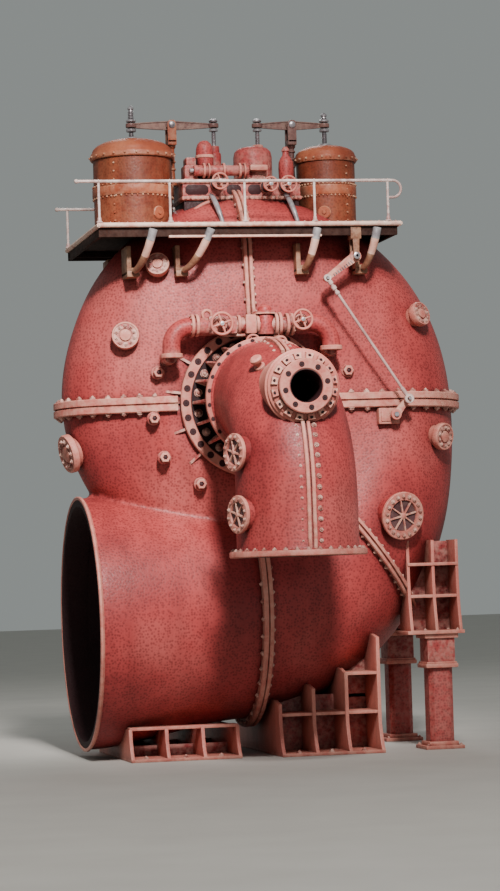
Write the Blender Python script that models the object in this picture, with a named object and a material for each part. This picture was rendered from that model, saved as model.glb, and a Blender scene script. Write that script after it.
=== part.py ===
import math
import bpy
import bmesh
from mathutils import Vector, Matrix

# Spiral turbine casing, metres, +Z up, front towards -Y. Shaft runs along Y.
centreShift = -0.635
shaftX = 0.15
shaftZ = 7.92
gap = 0.0003
coverHalf = 1.72
boreR = 0.9
ringR = 1.68
outerRadius = [(-90, 7.15), (-75, 6.86), (-60, 6.45), (-47, 6.02), (-31, 5.55), (-16, 5.2), (0, 5.02),
               (30, 4.97), (60, 4.90), (90, 4.83), (112, 4.65), (135, 4.38), (155, 4.16), (180, 4.05),
               (200, 3.98), (225, 3.9), (270, 3.67)]
tubeRadius = [(-90, 2.5), (-60, 2.32), (-31, 2.05), (0, 1.78), (45, 1.6), (90, 1.48), (135, 1.35),
              (180, 1.22), (210, 1.35), (270, 1.72)]
sectionAngle = -52.0
mouthX = -3.66
mouthZ = 3.06
mouthR = 2.86
wall = 0.09
flangeGrow = 0.20
lanternEnd = 2.95
elbowAxisY = 5.6
elbowBend = 2.2
elbowR = 1.21
outletZ = 4.42
nozzleFace = 6.80
deckZ = 11.78
deckThick = 0.11
deckX = (-3.36, 3.56)
deckHalf = 2.35
railTop = 12.80
railPosts = (-3.30, -1.71, -0.02, 1.57, 3.26)
leverZ = 14.40
drumSpec = {"left": (-2.12, 0.93, 13.74, 14.08), "right": (2.42, 0.70, 13.66, 13.92)}
leverSpec = {"left": (-1.20, -2.12, -0.20), "right": (1.62, 2.42, 0.83)}

for ob in list(bpy.data.objects):
    bpy.data.objects.remove(ob, do_unlink=True)
for me in list(bpy.data.meshes):
    bpy.data.meshes.remove(me)

rose = (0.55, 0.20, 0.19)
cream = (0.72, 0.42, 0.36)
brown = (0.42, 0.20, 0.11)
steel = (0.45, 0.45, 0.50)
dark = (0.12, 0.08, 0.10)


def table(rows, x):
    n = len(rows)
    if x <= rows[0][0]:
        return rows[0][1]
    if x >= rows[-1][0]:
        return rows[-1][1]
    i = max(k for k in range(n - 1) if rows[k][0] <= x)
    x0, y0 = rows[i]
    x1, y1 = rows[i + 1]
    xa, ya = rows[i - 1] if i > 0 else (2 * x0 - x1, 2 * y0 - y1)
    xb, yb = rows[i + 2] if i + 2 < n else (2 * x1 - x0, 2 * y1 - y0)
    m0 = (y1 - ya) / (x1 - xa)
    m1 = (yb - y0) / (xb - x0)
    h = x1 - x0
    t = (x - x0) / h
    return (y0 * (2 * t ** 3 - 3 * t ** 2 + 1) + h * m0 * (t ** 3 - 2 * t ** 2 + t)
            + y1 * (3 * t ** 2 - 2 * t ** 3) + h * m1 * (t ** 3 - t ** 2))


def tidy(bm):
    bmesh.ops.remove_doubles(bm, verts=bm.verts, dist=0.00005)
    bmesh.ops.dissolve_degenerate(bm, edges=bm.edges, dist=0.00002)
    loose = [e for e in bm.edges if len(e.link_faces) == 1]
    if loose:
        bmesh.ops.holes_fill(bm, edges=loose, sides=4)
    bmesh.ops.recalc_face_normals(bm, faces=bm.faces)


def make(name, verts, faces):
    me = bpy.data.meshes.new(name)
    me.from_pydata([tuple(v) for v in verts], [], faces)
    bm = bmesh.new()
    bm.from_mesh(me)
    bmesh.ops.recalc_face_normals(bm, faces=bm.faces)
    bm.to_mesh(me)
    bm.free()
    ob = bpy.data.objects.new(name, me)
    bpy.context.scene.collection.objects.link(ob)
    return ob


def loft(name, rings, closed=False):
    n = len(rings[0])
    verts = [v for ring in rings for v in ring]
    faces = []
    last = len(rings) if closed else len(rings) - 1
    for i in range(last):
        a, b = i * n, ((i + 1) % len(rings)) * n
        for j in range(n):
            k = (j + 1) % n
            faces.append((a + j, a + k, b + k))
            faces.append((a + j, b + k, b + j))
    if not closed:
        faces.append(tuple(range(n)))
        faces.append(tuple(range((len(rings) - 1) * n, len(rings) * n)))
    return make(name, verts, faces)


def box(x0, x1, y0, y1, z0, z1):
    v = [(x, y, z) for x in (x0, x1) for y in (y0, y1) for z in (z0, z1)]
    f = [(0, 1, 3, 2), (4, 6, 7, 5), (0, 4, 5, 1), (2, 3, 7, 6), (0, 2, 6, 4), (1, 5, 7, 3)]
    return make("piece", v, f)


def frameOf(axis):
    w = Vector(axis).normalized()
    ref = Vector((0, 0, 1)) if abs(w.z) < 0.9 else Vector((1, 0, 0))
    u = ref.cross(w).normalized()
    return u, w.cross(u), w


def turned(at, axis, profile, n=24, name="piece"):
    u, v, w = frameOf(axis)
    at = Vector(at)
    rings = []
    for r, h in profile:
        rings.append([at + w * h + (u * math.cos(2 * math.pi * k / n) + v * math.sin(2 * math.pi * k / n)) * r
                      for k in range(n)])
    hollow = profile[0][0] > 0 and profile[-1] == profile[0]
    if hollow:
        return loft(name, rings[:-1], closed=True)
    return loft(name, rings)


def rod(a, b, r, n=16, r2=None):
    a, b = Vector(a), Vector(b)
    return turned(a, b - a, [(r, 0), (r if r2 is None else r2, (b - a).length)], n)


def pipe(path, r, n=14):
    pts = [Vector(p) for p in path]
    side = None
    rings = []
    for i, p in enumerate(pts):
        a = pts[max(i - 1, 0)]
        b = pts[min(i + 1, len(pts) - 1)]
        w = (b - a).normalized()
        if side is None:
            side = frameOf(w)[0]
        side = (side - w * side.dot(w)).normalized()
        up = w.cross(side)
        rings.append([p + (side * math.cos(2 * math.pi * k / n) + up * math.sin(2 * math.pi * k / n)) * r
                      for k in range(n)])
    return loft("piece", rings)


def plate(points, lo, hi, plane="xz"):
    def put(p, d):
        if plane == "xz":
            return (p[0], d, p[1])
        if plane == "yz":
            return (d, p[0], p[1])
        return (p[0], p[1], d)
    rings = [[put(p, lo) for p in points], [put(p, hi) for p in points]]
    return loft("piece", rings)


def boolean(target, tool, op, keep=False):
    mod = target.modifiers.new("b", "BOOLEAN")
    mod.operation = op
    mod.solver = "EXACT"
    mod.object = tool
    dg = bpy.context.evaluated_depsgraph_get()
    me = bpy.data.meshes.new_from_object(target.evaluated_get(dg))
    target.modifiers.remove(mod)
    old = target.data
    target.data = me
    bpy.data.meshes.remove(old)
    if not keep:
        bpy.data.objects.remove(tool, do_unlink=True)
    return target


def union(parts):
    base = parts[0]
    for p in parts[1:]:
        boolean(base, p, "UNION")
    return base


def cut(base, tools, keep=False):
    for t in tools:
        boolean(base, t, "DIFFERENCE", keep)
    return base


def mirrored(ob):
    me = ob.data.copy()
    me.transform(Matrix.Scale(-1, 4, (0, 1, 0)))
    me.flip_normals()
    other = bpy.data.objects.new("piece", me)
    bpy.context.scene.collection.objects.link(other)
    return other


nodes = []


def finish(ob, name, colour, pivot=None, angle=35.0):
    me = ob.data
    bm = bmesh.new()
    bm.from_mesh(me)
    tidy(bm)
    bmesh.ops.dissolve_limit(bm, angle_limit=math.radians(0.05), verts=bm.verts, edges=bm.edges)
    bmesh.ops.triangulate(bm, faces=[f for f in bm.faces if len(f.verts) > 4])
    for f in bm.faces:
        f.smooth = True
    for e in bm.edges:
        if len(e.link_faces) == 2:
            e.smooth = e.calc_face_angle(0.0) < math.radians(angle)
    bm.to_mesh(me)
    bm.free()
    ob.name = name
    me.name = name
    origin = Vector(pivot) if pivot else Vector((0, 0, 0))
    me.transform(Matrix.Translation(-origin))
    ob.location = origin + Vector((centreShift, 0, 0))
    mat = bpy.data.materials.new(name + "_mat")
    mat.use_nodes = True
    bsdf = mat.node_tree.nodes["Principled BSDF"]
    bsdf.inputs["Base Color"].default_value = (*colour, 1)
    bsdf.inputs["Roughness"].default_value = 0.5
    me.materials.clear()
    me.materials.append(mat)
    nodes.append(ob)
    return ob


def radial(phi):
    a = math.radians(phi)
    return Vector((math.cos(a), 0, math.sin(a)))


def profile(phi, grow, step):
    R = table(outerRadius, phi) + grow
    rho = table(tubeRadius, phi) + grow
    c = R - rho
    y = coverHalf + step
    ax = 1.95 - c
    dist = math.hypot(ax, y)
    base = math.atan2(y, ax)
    psi0 = base - math.acos(min(1.0, rho / dist))
    psi0 = min(psi0, math.radians(150))
    front = [(boreR, -coverHalf), (1.72, -coverHalf), (1.74, -y), (1.95, -y)]
    K = 12
    arc = []
    for k in range(K + 1):
        psi = psi0 * (1 - 2 * k / K)
        arc.append((c + rho * math.cos(psi), -rho * math.sin(psi)))
    back = [(r, -yy) for r, yy in reversed(front)]
    return front + arc + back


def station(phi, grow=0.0, step=0.0, plane=None, off=0.0):
    pts = profile(phi, grow, step)
    n = Vector((0, 0, 0))
    if plane is not None:
        a = math.radians(plane)
        n = Vector((-math.sin(a), 0, math.cos(a)))
    c = Vector((shaftX, 0, shaftZ))
    d = radial(phi)
    return [c + d * r + Vector((0, y, 0)) + n * off for r, y in pts]


def segment(phi0, phi1, t0, t1, extra=0.0, endBack=0.0):
    g, s = flangeGrow, 0.13
    e = extra
    rings = []
    rings.append(station(phi0, g + e, s + e, phi0, gap / 2 - e))
    rings.append(station(phi0, g + e, s + e, phi0, t0 + e))
    rings.append(station(phi0, e, e, phi0, t0 + e + 0.0005))
    lo, hi = phi0 + 13, phi1 - 13
    count = max(2, round((hi - lo) / 8))
    for k in range(count + 1):
        rings.append(station(lo + (hi - lo) * k / count, e, e))
    rings.append(station(phi1, e, e, phi1, -t1 - e - 0.0005))
    rings.append(station(phi1, g + e, s + e, phi1, -t1 - e))
    rings.append(station(phi1, g + e, s + e, phi1, -gap / 2 + e - endBack))
    return loft("piece", rings)


def surface(phi, psi, lift=0.0):
    R = table(outerRadius, phi)
    rho = table(tubeRadius, phi)
    a = math.radians(psi)
    n = radial(phi) * math.cos(a) + Vector((0, -math.sin(a), 0))
    p = Vector((shaftX, 0, shaftZ)) + radial(phi) * (R - rho) + n * rho
    return p + n * lift, n


def blank(phi, psi, r, neck=0.12, n=16):
    p, d = surface(phi, psi, -0.2)
    return turned(p, d, [(r * 0.8, 0), (r * 0.8, 0.2 + neck), (r, 0.2 + neck), (r, 0.28 + neck)], n)


def discs(x, z, r, n=32):
    return [Vector((x, r * math.sin(2 * math.pi * k / n), z + r * math.cos(2 * math.pi * k / n))) for k in range(n)]


def tubeSolid(grow, x0, x1, rim):
    zEnd = shaftZ - (table(outerRadius, -90) - table(tubeRadius, -90))
    rEnd = table(tubeRadius, -90)
    rings = []
    xs = [mouthX + 0.1, -2.9, -2.0, -1.1, -0.4, shaftX]
    if rim:
        rings.append(discs(x0, mouthZ, mouthR + 0.09 + grow))
        rings.append(discs(mouthX + 0.1 + grow, mouthZ, mouthR + 0.09 + grow))
    else:
        rings.append(discs(x0, mouthZ, mouthR + grow))
    for x in xs:
        t = (x - mouthX) / (shaftX - mouthX)
        s = t * t * (3 - 2 * t)
        r = mouthR + (rEnd - mouthR) * s + grow
        z = mouthZ + (zEnd - mouthZ) * s
        px = x + (grow + 0.0005 if rim and x == xs[0] else 0)
        rings.append(discs(px if x != shaftX else x1, z, r))
    return rings


def inletOuter(extra=0.0):
    tail = segment(180, 270, 0.17, 0.11, extra, 0.009)
    tube = loft("piece", tubeSolid(extra, mouthX - extra, shaftX - gap / 2 - 0.004 + extra, True))
    zEnd = shaftZ - (table(outerRadius, -90) - table(tubeRadius, -90))
    rEnd = table(tubeRadius, -90)
    ring = loft("piece", [discs(shaftX - 0.11 - extra, zEnd, rEnd + flangeGrow + extra),
                          discs(shaftX - gap / 2 + extra, zEnd, rEnd + flangeGrow + extra)])
    return union([tube, ring, tail])


def cutters(which):
    made = []
    for w in which:
        if w == "inlet":
            made.append(inletOuter(gap))
        else:
            lo, hi, t0, t1 = spans[w]
            made.append(segment(lo, hi, t0, t1, gap))
    return made


spans = {"low": (-90, sectionAngle, 0.11, 0.09), "side": (sectionAngle, 0, 0.09, 0.17),
         "right": (0, 90, 0.17, 0.10), "left": (90, 180, 0.10, 0.17)}


def casings():
    inlet = inletOuter()
    inlet = union([inlet, blank(194, 12, 0.44), ])
    inner = tubeSolid(-wall, mouthX - 0.3, shaftX + 0.3, False)
    cut(inlet, [loft("piece", inner)])
    finish(inlet, "inlet_casing", rose)
    low = segment(*spans["low"])
    finish(low, "lower_casing", rose)
    side = segment(*spans["side"])
    side = union([side, blank(-11, 54, 0.31), blank(-11, -54, 0.31)])
    for s in (1, -1):
        p, d = surface(-40, 80 * s, -0.2)
        side = union([side, turned(p, (0.30, -0.94 * s, -0.15), [(0.46, 0), (0.46, 0.42)], 24)])
    side = union([side, box(2.97, 3.45, -2.02, -1.4, 7.36, 7.72)])
    hole = rod((3.33, -2.2, 7.56), (3.33, -1.85, 7.56), 0.066)
    cut(side, [hole])
    finish(side, "side_casing", rose)
    right = segment(*spans["right"])
    right = union([right, blank(26, 53, 0.28), blank(26, -53, 0.28)])
    finish(right, "upper_casing_right", rose)
    left = segment(*spans["left"])
    left = union([left, blank(151, 78, 0.31), blank(151, -78, 0.31), blank(123, 68, 0.27), blank(123, -68, 0.27)])
    finish(left, "upper_casing_left", rose)


def lanterns():
    axis = (shaftX, 0, shaftZ)
    disc = turned(axis, (0, -1, 0), [(0.92, coverHalf + gap), (ringR, coverHalf + gap), (ringR, coverHalf + 0.18),
                                     (0.92, coverHalf + 0.18), (0.92, coverHalf + gap)], 36)
    outer, tip, inner = [], [], []
    teeth = 18
    for k in range(teeth):
        a0 = 2 * math.pi * k / teeth
        half = 0.035
        for r, far, a in ((1.16, 1.05, a0 - half), (1.42, 1.30, a0 - half * 0.8),
                          (1.42, 1.30, a0 + half * 0.8), (1.16, 1.05, a0 + half)):
            outer.append((r, a))
            tip.append((far, a))
            inner.append((0.92, a))

    def ring(rows, y):
        return [Vector((shaftX + r * math.cos(a), y, shaftZ + r * math.sin(a))) for r, a in rows]
    y0, y1 = -(coverHalf + 0.17), -lanternEnd
    gear = loft("piece", [ring(outer, y0), ring(tip, y1), ring(inner, y1), ring(inner, y0)], closed=True)
    front = union([disc, gear])
    back = mirrored(front)
    finish(front, "lantern_front", rose)
    finish(back, "lantern_back", rose)


def bendRings(radii, bump):
    n = 26
    rings = []
    for (t, r) in radii:
        if t < 0:
            c = Vector((shaftX, -(elbowAxisY - elbowBend) - t, shaftZ))
            out = Vector((0, 0, 1))
        elif t <= 90:
            a = math.radians(t)
            c = Vector((shaftX, -(elbowAxisY - elbowBend) - elbowBend * math.sin(a),
                        shaftZ - elbowBend + elbowBend * math.cos(a)))
            out = Vector((0, -math.sin(a), math.cos(a)))
        else:
            c = Vector((shaftX, -elbowAxisY, shaftZ - elbowBend - (t - 90)))
            out = Vector((0, -1, 0))
        side = Vector((1, 0, 0))
        ring = []
        half = 0.105
        rest = n - 4
        angles = [-half, -half + 0.001, half - 0.001, half]
        lifts = [0, bump, bump, 0]
        for k in range(1, rest + 1):
            angles.append(half + (2 * math.pi - 2 * half) * k / (rest + 1))
            lifts.append(0)
        for a, l in zip(angles, lifts):
            rr = r + (l if r < 1.33 else 0)
            ring.append(c + (out * math.cos(a) + side * math.sin(a)) * rr)
        rings.append(ring)
    return rings


def elbows():
    start = elbowAxisY - elbowBend
    straight = shaftZ - elbowBend
    rows = [(-(start - lanternEnd - gap), 1.35), (-(start - lanternEnd - 0.15), 1.35),
            (-(start - lanternEnd - 0.1505), elbowR)]
    rows += [(-0.001, elbowR)] + [(15 * k, elbowR + 0.07 * k / 6) for k in range(1, 7)]
    rows += [(90 + straight - outletZ - 0.1305, elbowR + 0.08), (90 + straight - outletZ - 0.13, 1.46),
             (90 + straight - outletZ, 1.46)]
    outer = loft("piece", bendRings(rows, 0.07))
    inside = [(-(start - lanternEnd) - 0.3, 0.98), (-(start - lanternEnd - 0.2), 1.0), (-0.001, elbowR - 0.09)]
    inside = [(-(start - 2.6), 0.98)] + inside[1:]
    inside += [(15 * k, elbowR - 0.09 + 0.07 * k / 6) for k in range(1, 7)]
    inside += [(90 + straight - outletZ + 0.3, elbowR - 0.01)]
    hollow = loft("piece", bendRings(inside, 0.0))
    noz = turned((shaftX, 0, shaftZ), (0, -1, 0), [(0.76, 5.15), (0.76, 6.52), (0.68, 6.54), (0.68, 6.66),
                                                  (0.54, 6.67), (0.54, nozzleFace)], 22)
    parts = [outer, noz]
    for t in (24, 4):
        parts.append(coverAt(t, 1.05, 1.40, 0.34))
    el = union(parts)
    cut(el, [hollow, rod((shaftX, -4.4, shaftZ), (shaftX, -7.2, shaftZ), 0.34, 16)])
    other = mirrored(el)
    finish(el, "elbow_front", rose)
    finish(other, "elbow_back", rose)


coverNormal = Vector((-0.946, -0.326, 0))


def coverAt(low, d0, d1, r):
    z = {24: 6.62, 4: 5.32}[low]
    if z > shaftZ - elbowBend:
        y = -(elbowAxisY - elbowBend) - math.sqrt(elbowBend ** 2 - (z - shaftZ + elbowBend) ** 2)
    else:
        y = -elbowAxisY
    p = Vector((shaftX, y, z))
    return turned(p, coverNormal, [(r, d0), (r, d1)], 20)


def covers():
    for key, low in (("upper", 24), ("lower", 4)):
        c = coverAt(low, 1.40 + gap, 1.48, 0.40)
        other = mirrored(c)
        finish(c, "elbow_cover_%s_front" % key, rose)
        finish(other, "elbow_cover_%s_back" % key, rose)
    for s, name in ((1, "front"), (-1, "back")):
        p, d = surface(-40, 80 * s, -0.2)
        c = turned(p, (0.30, -0.94 * s, -0.15), [(0.54, 0.42 + gap), (0.54, 0.50)], 28)
        finish(c, "casing_cover_" + name, rose)


def saddles():
    parts = [box(-2.95, -0.45, -2.2, 2.2, 0.0, 0.07)]
    xs = [-2.95, -2.14, -1.32, -0.53]
    for x in xs:
        parts.append(plate([(-2.2, 0.03), (2.2, 0.03), (2.1, 0.25), (1.97, 0.5), (1.95, 0.78), (1.4, 1.05),
                            (-1.4, 1.05), (-1.95, 0.78), (-1.97, 0.5), (-2.1, 0.25)], x, x + 0.08, "yz"))
    for s in (1, -1):
        parts.append(box(-2.93, -0.47, min(s * 1.93, s * 0.9), max(s * 1.93, s * 0.9), 0.69, 0.76))
        parts.append(box(-2.93, -0.47, min(s * 0.86, s * 0.94), max(s * 0.86, s * 0.94), 0.03, 0.74))
    a = union(parts)
    cut(a, cutters(["inlet"]))
    keepLargest(a)
    finish(a, "saddle_left", rose)
    parts = [box(0.40, 2.76, -2.5, 2.5, 0.0, 0.07)]
    for x, top, high in ((0.40, 1.10, 1.5), (1.17, 1.35, 1.75), (1.93, 1.65, 2.1), (2.68, 2.3, 2.65)):
        parts.append(plate([(-2.5, 0.03), (2.5, 0.03), (2.36, 0.28), (2.2, 0.62), (2.2, top), (1.75, high),
                            (-1.75, high), (-2.2, top), (-2.2, 0.62), (-2.36, 0.28)], x, x + 0.08, "yz"))
    for s in (1, -1):
        def sb(x0, x1, ya, yb, z0, z1):
            return box(x0, x1, min(s * ya, s * yb), max(s * ya, s * yb), z0, z1)
        parts.append(sb(0.42, 2.74, 1.1, 2.19, 0.88, 0.95))
        parts.append(sb(1.95, 2.74, 1.1, 2.19, 1.70, 1.77))
        parts.append(sb(0.42, 2.74, 1.06, 1.14, 0.03, 1.30))
    b = union(parts)
    cut(b, cutters(["low", "inlet"]))
    keepLargest(b)
    finish(b, "saddle_middle", rose)


def sideFeet():
    parts = [box(3.45, 4.78, -2.15, -1.25, 2.60, 2.68)]
    for x in (3.52, 4.10, 4.66):
        parts.append(plate([(-2.15, 2.64), (-1.25, 2.64), (-1.25, 4.72), (-1.95, 4.72), (-2.0, 3.4), (-2.1, 2.9)],
                           x, x + 0.07, "yz"))
    for z in (3.42, 4.14):
        parts.append(box(3.54, 4.71, -1.985, -1.25, z, z + 0.07))
    parts.append(box(3.54, 4.71, -1.34, -1.25, 2.62, 4.70))
    a = union(parts)
    cut(a, cutters(["side", "low"]))
    b = mirrored(a)
    keepLargest(a)
    keepLargest(b)
    finish(a, "side_foot_front", rose)
    finish(b, "side_foot_back", rose)
    top = 2.60 - gap
    col = union([box(3.93, 4.57, -2.02, -1.38, 1.95, top), box(3.87, 4.63, -2.08, -1.32, 1.83, 1.97),
                 box(3.97, 4.53, -1.98, -1.42, 0.05, 1.85), box(3.80, 4.70, -2.15, -1.25, 0.0, 0.08)])
    other = mirrored(col)
    finish(col, "column_front", rose)
    finish(other, "column_back", rose)


def keepLargest(ob):
    bm = bmesh.new()
    bm.from_mesh(ob.data)
    left = set(bm.verts)
    groups = []
    while left:
        stack = [left.pop()]
        comp = set(stack)
        while stack:
            v = stack.pop()
            for e in v.link_edges:
                o = e.other_vert(v)
                if o in left:
                    left.discard(o)
                    comp.add(o)
                    stack.append(o)
        groups.append(comp)
    groups.sort(key=len)
    for g in groups[:-1]:
        bmesh.ops.delete(bm, geom=list(g), context="VERTS")
    bm.to_mesh(ob.data)
    bm.free()


def deck():
    top = deckZ + deckThick
    slab = box(deckX[0], deckX[1], -deckHalf, deckHalf, deckZ, top)
    cut(slab, cutters(["left", "right"]))
    keepLargest(slab)
    finish(slab, "deck_plate", cream)
    z1 = deckZ - gap
    parts = [box(-3.30, 3.49, -2.30, -2.22, z1 - 0.16, z1), box(-3.30, 3.49, 2.22, 2.30, z1 - 0.16, z1)]
    for x in (-3.30, 3.41):
        parts.append(box(x, x + 0.08, -2.26, 2.26, z1 - 0.16, z1))
    for s in (1, -1):
        for bx, sx, lip in ((-2.10, -2.46, 1.62), (-0.80, -1.36, 1.66), (1.62, 1.36, 1.84), (3.00, 2.72, 1.84)):
            path = []
            for k in range(5):
                t = k / 4
                x = bx + (sx - bx) * t
                y = -2.26 + (2.20 - lip) * t ** 1.5
                z = z1 - 0.08 - 0.94 * (1 - (1 - t) ** 1.6)
                path.append((x, y * s, z))
            parts.append(pipe(path, 0.085, 6))
            parts.append(box(sx - 0.14, sx + 0.14, min(-lip * s, -0.55 * s), max(-lip * s, -0.55 * s), 10.64, 10.77))
            parts.append(box(sx - 0.14, sx - 0.04, min(-(lip - 0.02) * s, -0.55 * s), max(-(lip - 0.02) * s, -0.55 * s),
                             10.72, 11.34))
    parts.append(box(2.39, 2.61, -2.29, -2.225, 10.99, z1))
    parts.append(box(2.39, 2.61, -2.055, -1.99, 10.99, z1))
    parts.append(box(2.36, 2.64, -2.28, -1.98, 11.40, z1 - 0.01))
    parts.append(rod((2.50, -2.31, 11.12), (2.50, -1.97, 11.12), 0.035, 12))
    frame = union(parts)
    cut(frame, cutters(["left", "right"]))
    keepLargest(frame)
    finish(frame, "deck_frame", rose)


def rails():
    top = deckZ + deckThick + gap
    for s, name in ((-1, "front"), (1, "back")):
        y = 2.28 * s
        parts = [rod((-3.82, y, railTop), (3.48, y, railTop), 0.035, 8)]
        for x in railPosts:
            parts.append(rod((x, y, top), (x, y, railTop + 0.01), 0.03, 8))
        loop = [(3.46, y, railTop)] + [(3.50 + 0.19 * math.sin(a), y, railTop - 0.19 + 0.19 * math.cos(a))
                                     for a in [math.radians(30 * k) for k in range(0, 7)]] + [(railPosts[4], y, railTop - 0.38)]
        parts.append(pipe(loop, 0.03, 7))
        finish(union(parts), "handrail_" + name, cream)


def drums():
    top = deckZ + deckThick + gap
    for side in ("left", "right"):
        x, r, rim, apex = drumSpec[side]
        body = turned((x, 0, 0), (0, 0, 1), [(r * 0.97, top), (r * 0.97, top + 0.1), (r * 0.965, 12.74), (r, 12.76),
                                            (r, 12.95), (r * 0.965, 12.97), (r * 0.965, rim - 0.14), (r * 1.03, rim - 0.13),
                                            (r * 1.03, rim), (r * 0.8, rim + (apex - rim) * 0.55),
                                            (r * 0.45, rim + (apex - rim) * 0.9), (0.2, apex), (0.2, apex + 0.05)], 22)
        if side == "left":
            body = union([body] + post(leverSpec["left"][0], 13.3))
        cut(body, cutters(["left", "right"]))
        cut(body, [rod((x, 0, apex - 0.35), (x, 0, apex + 0.2), 0.082, 16)])
        keepLargest(body)
        finish(body, "drum_" + side, brown)


def post(x, zBase, r=0.05):
    parts = [box(x - 0.10, x + 0.10, -0.17, -0.10, leverZ - 0.35, leverZ + 0.13),
             box(x - 0.10, x + 0.10, 0.10, 0.17, leverZ - 0.35, leverZ + 0.13),
             box(x - 0.10, x + 0.10, -0.17, 0.17, leverZ - 0.45, leverZ - 0.25),
             rod((x, -0.20, leverZ), (x, 0.20, leverZ), r, 14),
             rod((x, 0, zBase), (x, 0, leverZ - 0.3), 0.075, 12)]
    return parts


def levers():
    for side in ("left", "right"):
        piv, spin, rodx = leverSpec[side]
        dx, r, rim, apex = drumSpec[side]
        if side == "right":
            parts = post(piv, 13.08 + gap)
            parts.append(box(piv - 0.07, piv + 0.07, -0.16, 0.16, 13.08 + gap, 13.13))
            finish(union(parts), "lever_post_right", rose)
        d0, d1 = (spin, rodx) if spin < rodx else (rodx, spin)
        t = 0.075
        shape = []
        outline = [(d0 - 0.12, 0.045), (d0 + 0.2, 0.05), (piv - 0.16, 0.10), (piv + 0.16, 0.10), (d1 - 0.2, 0.05),
                   (d1 + 0.12, 0.045)]
        shape = [(x, leverZ + h) for x, h in outline] + [(x, leverZ - h) for x, h in reversed(outline)]
        bar = plate(shape, -0.045, 0.045)
        hub = rod((piv, -0.075, leverZ), (piv, 0.075, leverZ), 0.115, 14)
        e0 = rod((d0, 0, leverZ - 0.045), (d0, 0, leverZ + 0.045), 0.12, 14)
        e1 = rod((d1, 0, leverZ - 0.045), (d1, 0, leverZ + 0.045), 0.12, 14)
        lever = union([bar, hub, e0, e1])
        cut(lever, [rod((piv, -0.3, leverZ), (piv, 0.3, leverZ), 0.058, 12),
                    rod((d0, 0, leverZ - 0.3), (d0, 0, leverZ + 0.3), 0.075, 12),
                    rod((d1, 0, leverZ - 0.3), (d1, 0, leverZ + 0.3), 0.075, 12)])
        finish(lever, "lever_" + side, cream, pivot=(piv, 0, leverZ))
        tip = 14.86 if side == "left" else 14.70
        sp = turned((spin, 0, 0), (0, 0, 1), [(0.05, apex - 0.15), (0.05, leverZ - 0.145), (0.11, leverZ - 0.14),
                    (0.11, leverZ - 0.075), (0.05, leverZ - 0.07), (0.05, leverZ + 0.07), (0.11, leverZ + 0.075),
                    (0.11, leverZ + 0.14), (0.06, leverZ + 0.15), (0.05, tip - 0.08), (0.07, tip - 0.06), (0.02, tip)], 10)
        finish(sp, "spindle_" + side, steel, pivot=(spin, 0, leverZ))
        rd = turned((rodx, 0, 0), (0, 0, 1), [(0.045, 13.72), (0.045, leverZ - 0.135), (0.10, leverZ - 0.13),
                    (0.10, leverZ - 0.075), (0.045, leverZ - 0.07), (0.045, leverZ + 0.07), (0.10, leverZ + 0.075),
                    (0.10, leverZ + 0.13), (0.03, leverZ + 0.16)], 10)
        finish(rd, "valve_rod_" + side, steel, pivot=(rodx, 0, leverZ))


def gear():
    base = box(-1.10, 1.69, -0.62, 0.62, 12.02, 13.08)
    parts = [base,
             box(-1.02, -0.705, -0.58, -0.11, 13.01, 13.42), box(-0.97, -0.735, -0.53, -0.15, 13.38, 13.60),
             turned((-0.50, -0.35, 0), (0, 0, 1), [(0.20, 13.0), (0.20, 13.80), (0.17, 13.93), (0.09, 14.0)], 14),
             turned((-0.20, 0, 0), (0, 0, 1), [(0.16, 13.0), (0.16, 13.72), (0.12, 13.75), (0.12, 13.92)], 14),
             turned((0.83, 0, 0), (0, 0, 1), [(0.40, 13.0), (0.40, 13.55), (0.36, 13.68), (0.25, 13.80), (0.13, 13.85),
                                              (0.13, 13.95)], 20),
             turned((1.40, -0.35, 0), (0, 0, 1), [(0.17, 13.0), (0.17, 13.5), (0.09, 13.68), (0.09, 13.86)], 14),
             rod((-0.83, -0.66, 13.27), (0.45, -0.66, 13.27), 0.12, 12)]
    for x in (-0.62, -0.16, 0.21):
        parts.append(rod((x, -0.663, 13.274), (x + 0.05, -0.663, 13.274), 0.175, 12))
    for x, z in ((-0.30, 12.98), (0.87, 12.91), (1.29, 12.91)):
        parts.append(rod((x, -0.55, z), (x, -0.86, z), 0.10, 10))
    g = union(parts)
    cut(g, cutters(["left", "right"]))
    cut(g, [rod((-0.20, 0, 13.45), (-0.20, 0, 14.2), 0.072, 14), rod((0.83, 0, 13.45), (0.83, 0, 14.2), 0.072, 14)])
    for x, z in ((-0.30, 12.98), (0.87, 12.91), (1.29, 12.91)):
        cut(g, [rod((x, -0.70, z), (x, -1.0, z), 0.052, 12)])
    keepLargest(g)
    finish(g, "valve_chest", rose)


def wheel(name, x, y, z, r, stem, hub=0.05, spokes=4):
    n, m = 16, 4
    rt = r * 0.11
    rings = []
    for i in range(n):
        a = 2 * math.pi * i / n
        c = Vector((math.cos(a), 0, math.sin(a)))
        rings.append([Vector((x, y, z)) + c * (r - rt + rt * math.cos(2 * math.pi * k / m))
                      + Vector((0, rt * math.sin(2 * math.pi * k / m), 0)) for k in range(m)])
    rim = loft("piece", rings, closed=True)
    parts = [rim, rod((x, y - 0.06, z), (x, y + stem, z), 0.04, 8), rod((x, y - 0.045, z), (x, y + 0.05, z), r * 0.28, 10)]
    for k in range(spokes // 2):
        a = math.pi * k / (spokes // 2) + 0.33
        d = Vector((math.cos(a), 0, math.sin(a))) * (r - rt)
        c = Vector((x, y, z))
        parts.append(rod(c - d, c + d, rt * 0.75, 4))
    finish(union(parts), name, cream, pivot=(x, y, z))


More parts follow.
